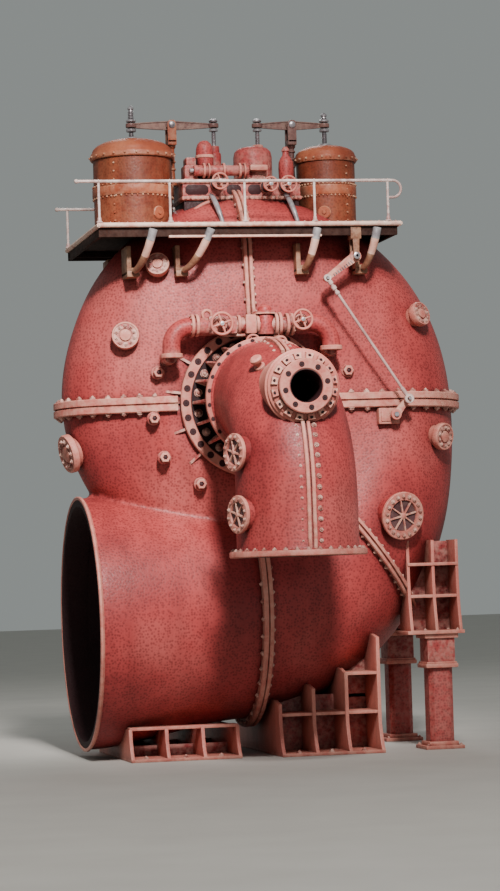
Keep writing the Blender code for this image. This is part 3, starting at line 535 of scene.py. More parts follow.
def flange(shape, phi, side, thick):
    # bolted collar round the joint plane, rounded on its outer edge
    g, s, lip, soft = casing["flange"], casing["step"], 0.02, 0.05
    low = station(phi, -0.03, 0.0, centre=False)
    mid, rim, top = (station(phi, g - e, s - e, centre=False) for e in (soft, lip, 0))
    n = sweepWay(phi) * side
    shape.body([[b + n * gap / 2, m + n * gap / 2, t + n * 0.026, t + n * (thick - lip), r + n * thick,
                 b + n * thick] for b, m, r, t in zip(low, mid, rim, top)], 1)


def flangeNuts(phi, side, thick, every, size):
    # nuts at even distances along the collar, left out where it passes under the cover ring
    path = station(phi, 0.07, 0.07, centre=False)
    n = sweepWay(phi) * side
    run, want = 0.0, every * 0.4
    for a, b in zip(path, path[1:]):
        length = (b - a).length
        while want <= run + length and length > 0:
            p = a + (b - a) * ((want - run) / length)
            if math.hypot(p.x - shaft.x, p.z - shaft.z) > 1.9:
                nutRows.append((p + n * thick, n, size))
            want += every
        run += length


def surface(phi, psi, lift=0.0):
    # a point of the scroll's skin and the direction out of it
    outer, rho = between(outerRadius, phi), between(tubeRadius, phi)
    a = math.radians(psi)
    n = radial(phi) * math.cos(a) + Vector((0, -math.sin(a), 0))
    return shaft + radial(phi) * (outer - rho) + n * (rho + lift), n


def throat(x):
    # radius and height of the inlet tube between the mouth and the shaft's plane
    x = min(max(x, casing["mouthX"]), casing["shaftX"])
    zEnd = casing["shaftZ"] - (between(outerRadius, -90) - between(tubeRadius, -90))
    t = (x - casing["mouthX"]) / (casing["shaftX"] - casing["mouthX"])
    s = t * t * (3 - 2 * t)
    r = casing["mouthR"] + (between(tubeRadius, -90) - casing["mouthR"]) * s
    return r, casing["mouthZ"] + (zEnd - casing["mouthZ"]) * s


def disc(x, shrink=0.0, at=None, n=96):
    r, z = throat(x if at is None else at)
    r -= shrink
    angles = (2 * math.pi * k / n for k in range(n))
    return [Vector((x, r * math.sin(a), z + r * math.cos(a))) for a in angles]


blankForm = {
    "neck": [(0.80, -0.02), (0.86, 0.0), (0.97, 0.004), (1.0, 0.02), (1.0, 0.13), (0.96, 0.16), (0.86, 0.16),
             (0.84, 0.14), (0.5, 0.13), (0.45, 0.13)],
    "middle": [(0.44, 0.10), (0.40, 0.165), (0.12, 0.18)],
    "recess": (0.50, 0.85, 0.12, 0.148), "bolts": 10, "boltAt": 0.68, "boltSize": 1.15}


def blank(shape, phi, psi, r, faceUp=0.12):
    # a blanked branch: short neck, bolted flange and a raised middle
    sunk = 0.2
    p, d = surface(phi, psi, -sunk)
    up = sunk + faceUp
    shape.turned(p, d, [(0.80, -up)] + blankForm["neck"], 1, 40, r, up)
    shape.turned(p, d, band(*blankForm["recess"]), 0, 40, r, up)
    shape.turned(p, d, blankForm["middle"], 1, 32, r, up)
    nutRows.extend(circlePoints(p, d, r * blankForm["boltAt"], blankForm["bolts"],
                                up + blankForm["recess"][3], 0.3, r * blankForm["boltSize"]))


def inletPiece():
    # the mouth tube and the tail of the spiral are run together and faired like one casting
    m, z0, r0, wall = casing["mouthX"], casing["mouthZ"], casing["mouthR"], casing["wall"]
    end, steps = casing["shaftX"], 14
    solid = Shape()
    xs = [m + 0.02 + (end - m - 0.02) * k / steps for k in range(steps + 1)]
    solid.body([disc(x if x < 0.14 else x - 0.02, at=x) for x in xs])
    tube = solid.object()
    tail = Shape()
    skin(tail, 180, 270, 0.01)
    carve(tube, tail.object(), "UNION")
    hollow = Shape()
    hollow.body([disc(m - 0.3 + (end + 0.55 - m) * k / steps, wall) for k in range(steps + 1)])
    carve(tube, hollow.object())
    applyModifier(tube, "REMESH", mode="VOXEL", voxel_size=casing["voxel"])
    applyModifier(tube, "SMOOTH", factor=0.5, iterations=casing["fairing"])
    whole = Shape()
    whole.takeObject(tube)
    # faces inside the mouth tube take the near-black painted shade
    for f in whole.bm.faces:
        c = f.calc_center_median()
        r, z = throat(c.x)
        out = Vector((0, c.y, c.z - z))
        if out.length < r - 0.07 and c.x < end + 0.1 and f.normal.dot(out) < 0.1:
            f.material_index = 2
    whole.turned((m, 0, z0), alongX, [(-0.04, 0.02), (-0.03, 0.0), (0.02, 0.0), (0.04, 0.014), (0.04, 0.055),
                                      (0.03, 0.065), (-0.04, 0.12), (-0.04, 0.02)], 1, 128, widen=r0)
    # the band just inside the mouth is painted near-black as shade
    deep = r0 - wall - 0.03
    whole.turned((m, 0, z0), alongX, [(deep, 0.05), (deep + 0.01, 0.018), (r0 - 0.035, 0.016),
                                      (r0 - 0.035, 0.12), (deep + 0.04, 0.6), (deep, 0.6), (deep, 0.05)],
                 2, 128)
    leftPhi, leftThick, every, size = joints["left"]
    flange(whole, leftPhi, 1, leftThick)
    flange(whole, 270, -1, joints["mouth"][1])
    rEnd, zEnd = throat(end)
    whole.turned((end - gap / 2, 0, zEnd), (-1, 0, 0),
                 [(-wall, 0), (0.18, 0), (0.20, 0.015), (0.20, 0.09), (0.18, 0.11), (-wall, 0.11),
                  (-wall, 0)], 1, 128, widen=rEnd)
    blank(whole, 194, 12, 0.44, 0.05)
    flangeNuts(leftPhi, 1, leftThick, every, size)
    joint = circlePoints((end - joints["mouth"][1], 0, zEnd), (-1, 0, 0), rEnd + 0.10, 42,
                         size=joints["mouth"][3])
    nutRows.extend(row for row in joint if (row[0] - shaft).xz.length > 3.9)
    place(whole, "inlet_shell", [rose, salmon, insideShade], ["inlet_casing"])


coverForm = {
    "plate": [(0.86, 0, 0), (0.98, 0, 0), (1.0, 0, 0.012), (1.0, 1, -0.012), (0.97, 1, 0), (0.67, 1, 0),
              (0.63, 1, -0.05), (0.05, 1, -0.05)],
    "dish": [(0.62, 1, -0.06), (0.62, 1, -0.040), (0.10, 1, -0.034)],
    "boss": [(0.14, 1, -0.05), (0.14, 1, -0.005), (0.09, 1, 0.012)],
    "rib": ((0.0, 0.026, 0.055), (0.5, 0.022, 0.050), (0.65, 0.020, 0.046)), "boltAt": 0.82}


def coverPlate(shape, at, axis, r, up, thick, spokes, bolts, size):
    # bolted manhole cover with a dished middle painted dark as shade, and radial ribs
    for part, mat, n in (("plate", 1, 48), ("dish", 3, 40)):
        shape.turned(at, axis, [(q, up + thick * t + h) for q, t, h in coverForm[part]], mat, n, r)
    u, v, w = frameOf(axis)
    base = Vector(at) + w * (up + thick - 0.055)
    for k in range(spokes):
        a = 2 * math.pi * (k + 0.25) / spokes
        d = u * math.cos(a) + v * math.sin(a)
        e = w.cross(d)
        rows = []
        for share, half, high in coverForm["rib"]:
            q = base + d * (r * share if share else 0.02)
            rows.append([q - e * half, q + e * half, q + e * half * 0.6 + w * high,
                         q - e * half * 0.6 + w * high])
        shape.body(rows, 1)
    shape.turned(at, axis, [(q, up + thick * t + h) for q, t, h in coverForm["boss"]], 1, 20, r)
    nutRows.extend(circlePoints(at, axis, r * coverForm["boltAt"], bolts, up + thick, 0.2, size))


def manholeAt(s):
    x, y, z = manhole["axis"]
    return surface(manhole["phi"], manhole["psi"] * s, -0.2)[0], (x, y * s, z)


def casingPieces():
    for name, node, first, last, blanks in shells:
        shape = Shape()
        skin(shape, joints[first][0], joints[last][0])
        for joint, side in ((first, 1), (last, -1)):
            flange(shape, joints[joint][0], side, joints[joint][1])
        for joint, side in ((first, 1), (last, -1)):
            phi, thick, every, size = joints[joint]
            flangeNuts(phi, side, thick, every, size)
        for s in (1, -1):
            for phi, psi, r in blanks:
                blank(shape, phi, psi * s, r)
        if node == "side_casing":
            neck, lip, up = manhole["neck"], manhole["lip"], manhole["up"]
            for s in (1, -1):
                shape.turned(*manholeAt(s), [(neck, 0), (neck, up - 0.04), (lip, up - 0.01), (lip, up)],
                             0, 48)
            # the crank's bearing bracket, a pad on it, and a ring round the crank's shaft
            shape.block(2.97, 3.45, -2.02, -1.4, 7.36, 7.72, 1, 0.02)
            shape.block(3.02, 3.24, -2.045, -1.99, 7.42, 7.66, 1, 0.012)
            shape.turned((3.33, -2.02, 7.56), alongY, band(0.068, 0.12, 0.0, -0.035), 1, 28)
        place(shape, name, [rose, salmon], [node])
    for s, word in ((1, "front"), (-1, "back")):
        cover = Shape()
        coverPlate(cover, *manholeAt(s), manhole["r"], manhole["up"] + gap, 0.08, 8, 18, 0.42)
        place(cover, "casing_manhole_" + word, [rose, salmon, paintedShadow, dishShade], ["casing_cover_" + word])


lantern = {"ribs": 18, "core": (1.16, 1.05), "rib": (1.42, 1.30), "end": 2.95, "bore": 0.92, "plate": 0.18,
           "dish": 1.435, "holes": 30, "holeR": 1.565, "bayR": 1.30, "bayY": 1.866, "bayNut": 0.9}


def lanternPiece():
    # bolted ring on the cover, a core behind it, and ribs that taper out to the elbow's neck
    shape = Shape()
    y0, y1 = casing["coverHalf"] + gap, casing["coverHalf"] + lantern["plate"]
    rim, bore, end = casing["ringR"], lantern["bore"], lantern["end"]
    c0, c1 = lantern["core"]
    r0, r1 = lantern["rib"]
    shape.turned(shaft, toFront, [(bore, y0), (rim - 0.02, y0), (rim, y0 + 0.02), (rim, y1 - 0.02),
                                  (rim - 0.02, y1), (1.46, y1), (1.44, y1 - 0.02), (1.43, y1 - 0.06),
                                  (bore, y1 - 0.06), (bore, y0)], 1, 96)
    # the dish in the plate and the core between the ribs are painted near-black as shade
    shape.turned(shaft, toFront, band(bore, lantern["dish"], y1 - 0.08, y1 - 0.035), 2, 96)
    shape.turned(shaft, toFront, [(bore, y1 - 0.03), (c0 + 0.02, y1 - 0.03), (c0, y1 + 0.06), (c1, end),
                                  (bore, end), (bore, y1 - 0.03)], 2, 72)
    for k in range(lantern["ribs"]):
        phi = 360 * k / lantern["ribs"]
        d, e = radial(phi), sweepWay(phi)
        rings = []
        for y, low, high in ((y1 - 0.03, c0 - 0.05, r0), (y1 + 0.3, c0 - 0.05, r0 - 0.05),
                             (end - 0.3, c1 - 0.05, r1), (end, c1 - 0.05, r1)):
            c = shaft + Vector((0, -y, 0))
            corners = ((low, -0.04), (high - 0.012, -0.032), (high, -0.022), (high, 0.022),
                       (high - 0.012, 0.032), (low, 0.04))
            rings.append([c + d * r + e * w for r, w in corners])
        shape.body(rings)
    return shape


def lanternPieces():
    front = lanternPiece()
    for shape, word in ((front, "front"), (front.mirrored(), "back")):
        place(shape, "lantern_ring_" + word, [rose, salmon, insideShade], ["lantern_" + word])
    for s in (-1, 1):
        plate = casing["coverHalf"] + lantern["plate"]
        holeRows.extend(circlePoints(shaft, (0, s, 0), lantern["holeR"], lantern["holes"], plate, size=0.8))
        for k in range(lantern["ribs"]):
            d = radial(360 * (k + 0.5) / lantern["ribs"])
            at = shaft + d * lantern["bayR"] + Vector((0, s * lantern["bayY"], 0))
            bayRows.append((at, Vector((0, s, 0)), lantern["bayNut"]))


elbow = {"axisY": 5.6, "bend": 2.2, "r": 1.21, "grow": 0.07, "wall": 0.09, "around": 80, "outletZ": 4.42,
         "outletR": 1.45, "lipTop": 0.13, "face": 6.80, "bore": 0.34,
         "bars": ((-0.095, -0.018), (0.018, 0.095)),
         "seamStep": 0.22, "seamStart": 66, "clamps": 16, "clampY": 6.54, "stud": (34, -0.52)}
elbow["start"] = elbow["axisY"] - elbow["bend"]  # how far out of the shaft's centre the bend begins
elbow["straight"] = shaft.z - elbow["bend"]  # height of the bend's lower end
elbowCovers = {"levels": (("upper", 6.62), ("lower", 5.32)), "facing": (-0.946, -0.326), "neckTop": 1.40,
               "r": 0.40, "thick": 0.08, "ribs": 6, "bolts": 12, "boltSize": 0.36}
gland = [(0.34, 5.9), (0.74, 5.4), (0.76, 6.30), (0.80, 6.32), (0.80, 6.42), (0.76, 6.44), (0.76, 6.50),
         (0.74, 6.52), (0.69, 6.53), (0.69, 6.56), (0.56, 6.60), (0.56, 6.66), (0.54, 6.68), (0.56, 6.70),
         (0.57, 6.72), (0.57, 6.78), (0.55, 6.80), (0.37, 6.80), (0.34, 6.77), (0.34, 5.9)]
glandClamp = (((0.58, -0.07, 0), (0.58, 0.07, 0), (0.71, 0.085, 0), (0.71, -0.085, 0)),
              ((0.58, -0.065, 0.10), (0.58, 0.065, 0.10), (0.70, 0.08, 0.085), (0.70, -0.08, 0.085)))


def bendPoint(t):
    # along the elbow's centre line: t below 0 is the straight neck, to 90 the bend, above it the drop
    start, bend = elbow["start"], elbow["bend"]
    if t < 0:
        return Vector((shaft.x, -start - t, shaft.z)), Vector(upward)
    if t <= 90:
        a = math.radians(t)
        return (Vector((shaft.x, -start - bend * math.sin(a), shaft.z - bend + bend * math.cos(a))),
                Vector((0, -math.sin(a), math.cos(a))))
    return Vector((shaft.x, -elbow["axisY"], shaft.z - bend - (t - 90))), Vector(toFront)


def skinRadius(t):
    return elbow["r"] + elbow["grow"] * min(max(t, 0), 90) / 90


def onElbow(t, a, r):
    # the point at angle a from the crown, r from the centre line, and the direction out to it
    c, out = bendPoint(t)
    d = out * math.cos(a) + Vector(alongX) * math.sin(a)
    return c + d * r, d


def elbowShell(neck, drop):
    around = [2 * math.pi * k / elbow["around"] for k in range(elbow["around"])]
    r, g, wall, lip = elbow["r"], elbow["grow"], elbow["wall"], elbow["outletR"]
    rows = [(neck + gap, 1.33), (neck + 0.02, 1.35), (neck + 0.13, 1.35), (neck + 0.15, 1.33),
            (neck + 0.16, r + 0.05), (neck + 0.21, r), (-0.001, r)]
    rows += [(4.5 * k, r + g * k / 20) for k in range(1, 21)]
    rows += [(drop - 0.22, r + g + 0.01), (drop - 0.15, r + g + 0.04), (drop - elbow["lipTop"], 1.40),
             (drop - 0.125, 1.44), (drop - 0.11, lip), (drop - 0.02, lip), (drop, 1.43), (drop, r - 0.01)]
    rows += [(4.5 * k, r - wall + g * k / 20) for k in range(20, 0, -1)]
    rows += [(-0.001, r - wall), (neck + 0.2, 1.0), (neck + gap, 0.98)]
    shell = Shape()
    shell.body([[onElbow(t, a, q)[0] for a in around] for t, q in rows], closed=True)
    ob = shell.object()
    bore = Shape()
    bore.rod((shaft.x, -5.5, shaft.z), (shaft.x, -6.9, shaft.z), elbow["bore"] + 0.002, n=48)
    carve(ob, bore.object())
    whole = Shape()
    whole.takeObject(ob)
    line = [bendPoint(t)[0] for t in (-0.4, -0.2, 0, 15, 30, 45, 60, 75, 90, 90.5, 91, 91.4)]
    bend = [bendPoint(t)[0] for t in range(0, 91, 15)]
    for f in whole.bm.faces:
        c = f.calc_center_median()
        fromOutlet = math.hypot(c.x - shaft.x, c.y + elbow["axisY"])
        fromShaft = math.hypot(c.x - shaft.x, c.z - shaft.z)
        onLip = abs(c.z - elbow["outletZ"] - 0.065) < 0.07 and fromOutlet > 1.27
        onNeck = -c.y < lantern["end"] + 0.17 and fromShaft > 1.22
        if onLip or onNeck:
            f.material_index = 1
        # faces inside the bend take the near-black painted shade
        away = c - min(bend, key=lambda q: (q - c).length)
        if min((q - c).length for q in line) < r - 0.005 and f.normal.dot(away) < 0:
            f.material_index = 2
    return whole


def coverOn(z, s):
    # where a manhole at height z lies on the front (s 1) or back elbow, and the way it faces
    y, drop = -elbow["axisY"], z - elbow["straight"]
    if drop > 0:
        y = -elbow["start"] - math.sqrt(elbow["bend"] ** 2 - drop ** 2)
    fx, fy = elbowCovers["facing"]
    return Vector((shaft.x, y * s, z)), Vector((fx, fy * s, 0))


def elbowPiece():
    neck = -(elbow["start"] - lantern["end"])
    drop = 90 + elbow["straight"] - elbow["outletZ"]
    r, b, face = elbow["r"], elbow["bore"], elbow["face"]
    whole = elbowShell(neck, drop)
    # joint along the crown: two narrow bars with a slot between them, left out over the middle of the bend
    steps = 26
    for lo, hi in elbow["bars"]:
        corners = ((-0.05, lo), (0.055, lo), (0.07, lo + 0.015), (0.07, hi - 0.015), (0.055, hi), (-0.05, hi))
        for t0, t1 in ((neck + 0.14, 28.0), (65.0, drop - 0.125)):
            bar = []
            for t in (t0 + (t1 - t0) * k / steps for k in range(steps + 1)):
                c, out = bendPoint(t)
                bar.append([c + out * (skinRadius(t) + h) + Vector(alongX) * x for h, x in corners])
            whole.body(bar, 1)
    seam = []
    bendLeft = 90 - elbow["seamStart"]
    bendLength = math.radians(bendLeft) * (elbow["bend"] + r)
    for k in range(12):
        run = elbow["seamStep"] * k
        t = 90 - bendLeft * (1 - run / bendLength) if run < bendLength else 90 + run - bendLength
        if t <= drop - 0.22:
            for s, size in ((1, 0.46), (-1, 0.26)):
                seam.append((*onElbow(t, s * 0.15, skinRadius(t) - 0.004), size))
    for k in range(6):
        seam += [(*onElbow(-0.2 + 5.0 * k, 0.17 * s, r - 0.004), 0.42) for s in (1, -1)]
    # shaft gland: stepped drum, a liner painted near-black as shade in the bore, and a split ring of clamps
    whole.turned(shaft, toFront, gland, 1, 72)
    whole.turned(shaft, toFront, [(-0.012, 5.85), (0.012, 5.80), (0.012, face - 0.02), (-0.004, face - 0.018),
                                  (-0.012, face - 0.03), (-0.012, 5.85)], 3, 64, widen=b)
    u, v, w = frameOf(toFront)
    c = shaft + w * elbow["clampY"]
    for k in range(elbow["clamps"]):
        a = 2 * math.pi * (k + 0.5) / elbow["clamps"]
        d = u * math.cos(a) + v * math.sin(a)
        e = w.cross(d)
        whole.body([[c + d * q + e * x + w * h for q, x, h in ring] for ring in glandClamp], 1)
    outlet = (shaft.x, -elbow["axisY"], elbow["outletZ"] + elbow["lipTop"])
    neckFace = shaft + Vector((0, -lantern["end"] - 0.152, 0))
    collar = circlePoints(outlet, upward, 1.37, 36, 0.0, 0.1, 0.50)
    holes = circlePoints(shaft, toFront, 0.645, elbow["clamps"], 6.628, math.pi / elbow["clamps"], 0.40)
    holes += circlePoints(shaft, toFront, 0.455, 8, face, 0.2, 0.62)
    holes += circlePoints(neckFace, toFront, 1.285, 26, 0.0, 0.1, 0.52)
    for level, z in elbowCovers["levels"]:
        whole.turned(*coverOn(z, 1), [(0.34, 1.05), (0.34, 1.36), (0.37, elbowCovers["neckTop"])], 0, 40)
    # lifting stud near the crown
    t, a = elbow["stud"]
    whole.turned(*onElbow(t, a, r + 0.01), [(0.12, 0), (0.12, 0.06), (0.07, 0.08), (0.07, 0.16), (0.11, 0.17),
                                            (0.13, 0.20), (0.13, 0.26), (0.09, 0.29)], 1, 24)
    return whole, seam + collar, holes


def elbowPieces():
    front, plain, holes = elbowPiece()
    for shape, word in ((front, "front"), (front.mirrored(), "back")):
        place(shape, "elbow_shell_" + word, [rose, salmon, insideShade, paintedShadow], ["elbow_" + word])
    mirror = Vector((1, -1, 1))
    for rows, kept in ((plain, nutRows), (holes, holeRows)):
        kept.extend(rows + [(p * mirror, d * mirror, size) for p, d, size in rows])
    top, thick = elbowCovers["neckTop"] + gap, elbowCovers["thick"]
    for s, word in ((1, "front"), (-1, "back")):
        for level, z in elbowCovers["levels"]:
            cover = Shape()
            coverPlate(cover, *coverOn(z, s), elbowCovers["r"], top, thick, elbowCovers["ribs"],
                       elbowCovers["bolts"], elbowCovers["boltSize"])
            place(cover, "elbow_manhole_%s_%s" % (level, word), [rose, salmon, paintedShadow, dishShade],
                  ["elbow_cover_%s_%s" % (level, word)])


inletPiece()
print("inlet shell ready")
casingPieces()
print("scroll shells ready")
lanternPieces()
elbowPieces()
print("elbows ready")
boss = {"studs": ((162, 2.26), (188, 2.30), (210, 2.38), (235, 2.20), (17, 2.30), (32, 2.15), (330, 2.2),
                  (300, 2.25)),
        "fins": ((148, 1.98), (172, 2.02), (200, 1.96), (222, 2.02), (25, 1.90), (345, 1.96)),
        "finHalf": 0.028,
        "parts": (([(0.15, 0), (0.15, 0.09), (0.13, 0.11), (0.07, 0.11)], 0, 24),
                  ([(0.05, 0.08), (0.115, 0.09), (0.12, 0.10), (0.12, 0.20), (0.105, 0.215), (0.06, 0.215),
                    (0.05, 0.16), (0.05, 0.08)], 1, 6),
                  ([(0.055, 0.12), (0.055, 0.185), (0.03, 0.195)], 2, 12))}


def bossPieces():
    # studs with a six-sided nut, and stiffening fins, round the front and back lantern rings
    shape = Shape()
    for s in (-1, 1):
        for phi, r in boss["studs"]:
            p = shaft + radial(phi) * r + Vector((0, s * casing["coverHalf"] * 0.96, 0))
            for rows, mat, n in boss["parts"]:
                shape.turned(p, (0, s, 0), rows, mat, n)
        for phi, reach in boss["fins"]:
            d, e = radial(phi), sweepWay(phi)
            foot = shaft + Vector((0, s * (casing["coverHalf"] - 0.05), 0))
            corners = ((1.60, 0), (reach, 0), (reach - 0.05, 0.07), (1.64, 0.16))
            shape.body([[foot + d * r + e * w + Vector((0, s * y, 0)) for r, y in corners]
                        for w in (-boss["finHalf"], boss["finHalf"])])
    place(shape, "ring_bosses", [rose, salmon, paintedShadow])


bossPieces()
saddle = {"plate": 0.07, "rib": 0.08, "edge": 0.012, "ribEdge": 0.008, "anchor": 0.55,
          "leftRibs": (-2.95, -2.14, -1.32, -0.53), "leftHigh": 0.72, "leftAnchors": (-2.6, -1.7, -0.9),
          "middleRibs": ((0.40, 1.16, 1.24), (1.17, 1.48, 1.56), (1.93, 1.80, 1.90), (2.68, 2.58, 2.65)),
          "middleAnchors": (0.8, 1.55, 2.3)}  # a middle rib is (x, height at its ends, height in its middle)


def tubeUnder(x, y):
    # height of the inlet tube's underside
    r, z = throat(x)
    return z - math.sqrt(max(r * r - y * y, 0.0))


def anchors(places, y):
    nutRows.extend((Vector((x, y, saddle["plate"])), Vector(upward), saddle["anchor"]) for x in places)


def saddlePieces():
    e, ribEdge, plate, steps = saddle["edge"], saddle["ribEdge"], saddle["plate"], 22
    left = Shape()
    left.block(-2.95, -0.45, -2.2, 2.2, 0.0, plate, 1, e)
    for x in saddle["leftRibs"]:
        across = [1.95 - 3.9 * k / steps for k in range(steps + 1)]
        top = [(y, min(saddle["leftHigh"], tubeUnder(max(x + 0.04, -3.6), y) + 0.05)) for y in across]
        rightSide = [(2.2, 0.05), (2.08, 0.22), (1.98, 0.45)]
        outline = [(-2.2, 0.05)] + rightSide + top + [(-1.98, 0.45), (-2.08, 0.22)]
        left.slab(outline, x, x + saddle["rib"], 1, "yz", ribEdge)
    for s in (1, -1):
        left.block(-2.93, -0.47, s * 1.93, s * 1.55, 0.69, 0.76, 1, e)
        left.block(-2.93, -0.47, s * 0.86, s * 0.94, 0.03, 0.30, 0, e)
        anchors(saddle["leftAnchors"], s * 2.08)
    place(left, "left_saddle", [rose, salmon], ["saddle_left"])
    mid = Shape()
    mid.block(0.40, 2.76, -2.5, 2.5, 0.0, plate, 1, e)
    for x, top, high in saddle["middleRibs"]:
        half = [(2.42, 0.14), (2.32, 0.36), (2.22, 0.66), (2.2, top), (1.75, high)]
        outline = [(-2.5, 0.05), (2.5, 0.05)] + half + [(0, high)] + [(-y, z) for y, z in reversed(half)]
        mid.slab(outline, x, x + saddle["rib"], 1, "yz", ribEdge)
    for s in (1, -1):
        for x0, y0, y1, z0, z1, mat in ((0.42, 1.1, 2.19, 0.88, 0.95, 1), (1.95, 1.1, 2.19, 1.75, 1.82, 1),
                                        (0.42, 1.06, 1.14, 0.03, 1.30, 0), (1.95, 1.06, 1.14, 1.20, 2.10, 0)):
            mid.block(x0, 2.74, s * y0, s * y1, z0, z1, mat, e)
        anchors(saddle["middleAnchors"], s * 2.38)
    place(mid, "middle_saddle", [rose, salmon], ["saddle_middle"])


column = {"at": (4.25, -1.70), "top": 2.60, "shaft": (0.28, 0.18), "nut": 0.40,
          "blocks": ((0.32, 0.32, 1.95, 2.60 - gap, 0, 0.02), (0.38, 0.38, 1.83, 1.93, 1, 0.035),
                     (0.35, 0.35, 1.92, 1.97, 1, 0.015), (0.35, 0.35, 0.07, 0.17, 1, 0.03),
                     (0.45, 0.45, 0.0, 0.08, 1, 0.012), (0.39, 0.38, 2.50, 2.60 - gap, 1, 0.02))}


def footPieces():
    foot = Shape()
    e, inner = saddle["edge"], -1.25
    foot.block(3.45, 4.78, -2.15, inner, column["top"], 2.68, 1, e)
    for x in (3.52, 4.10, 4.66):
        foot.slab([(-2.15, 2.64), (inner, 2.64), (inner, 4.72), (-1.95, 4.72), (-1.96, 3.9), (-2.0, 3.4),
                   (-2.05, 3.1), (-2.1, 2.9)], x, x + 0.07, 1, "yz", saddle["ribEdge"])
    for z in (3.42, 4.14):
        foot.block(3.54, 4.71, -1.985, inner, z, z + 0.07, 1, e)
    foot.block(3.54, 4.71, -1.34, inner, 2.62, 4.70, 0, e)
    # a column under it: eight-sided shaft between stepped square plates
    col = Shape()
    cx, cy = column["at"]
    h, c = column["shaft"]
    for hx, hy, z0, z1, mat, edge in column["blocks"]:
        col.block(cx - hx, cx + hx, cy - hy, cy + hy, z0, z1, mat, edge)
    eight = ((-h, -c), (-c, -h), (c, -h), (h, -c), (h, c), (c, h), (-c, h), (-h, c))
    col.slab([(cx + x, cy + y) for x, y in eight], 0.05, 1.85, 0, "xy", e)
    for s in (1, -1):
        for x in (3.87, 4.63):
            for y in (2.08, 1.32):
                nutRows.extend((Vector((x, s * y, z)), Vector(upward), column["nut"]) for z in (0.08, 2.68))
    for shape, name, node in ((foot, "side_bracket_", "side_foot_"), (col, "pedestal_", "column_")):
        back = shape.mirrored()
        place(shape, name + "front", [rose, salmon], [node + "front"])
        place(back, name + "back", [rose, salmon], [node + "back"])


saddlePieces()
footPieces()
print("feet ready")
deck = {"z": 11.78, "thick": 0.11, "x": (-3.36, 3.56), "half": 2.35, "lip": 0.045, "planks": 15, "rivets": 36,
        "railTop": 12.80, "railY": 2.28, "posts": (-3.30, -1.71, -0.02, 1.57, 3.26), "hangerX": 2.50,
        "pinZ": 11.12}
deckFloor = deck["z"] + deck["thick"] + gap
# (x under the deck's edge, x of the shoe, y of the shoe's outer end)
brackets = ((-2.10, -2.46, 1.62), (-0.80, -1.36, 1.66), (1.62, 1.36, 1.84), (3.00, 2.72, 1.84))


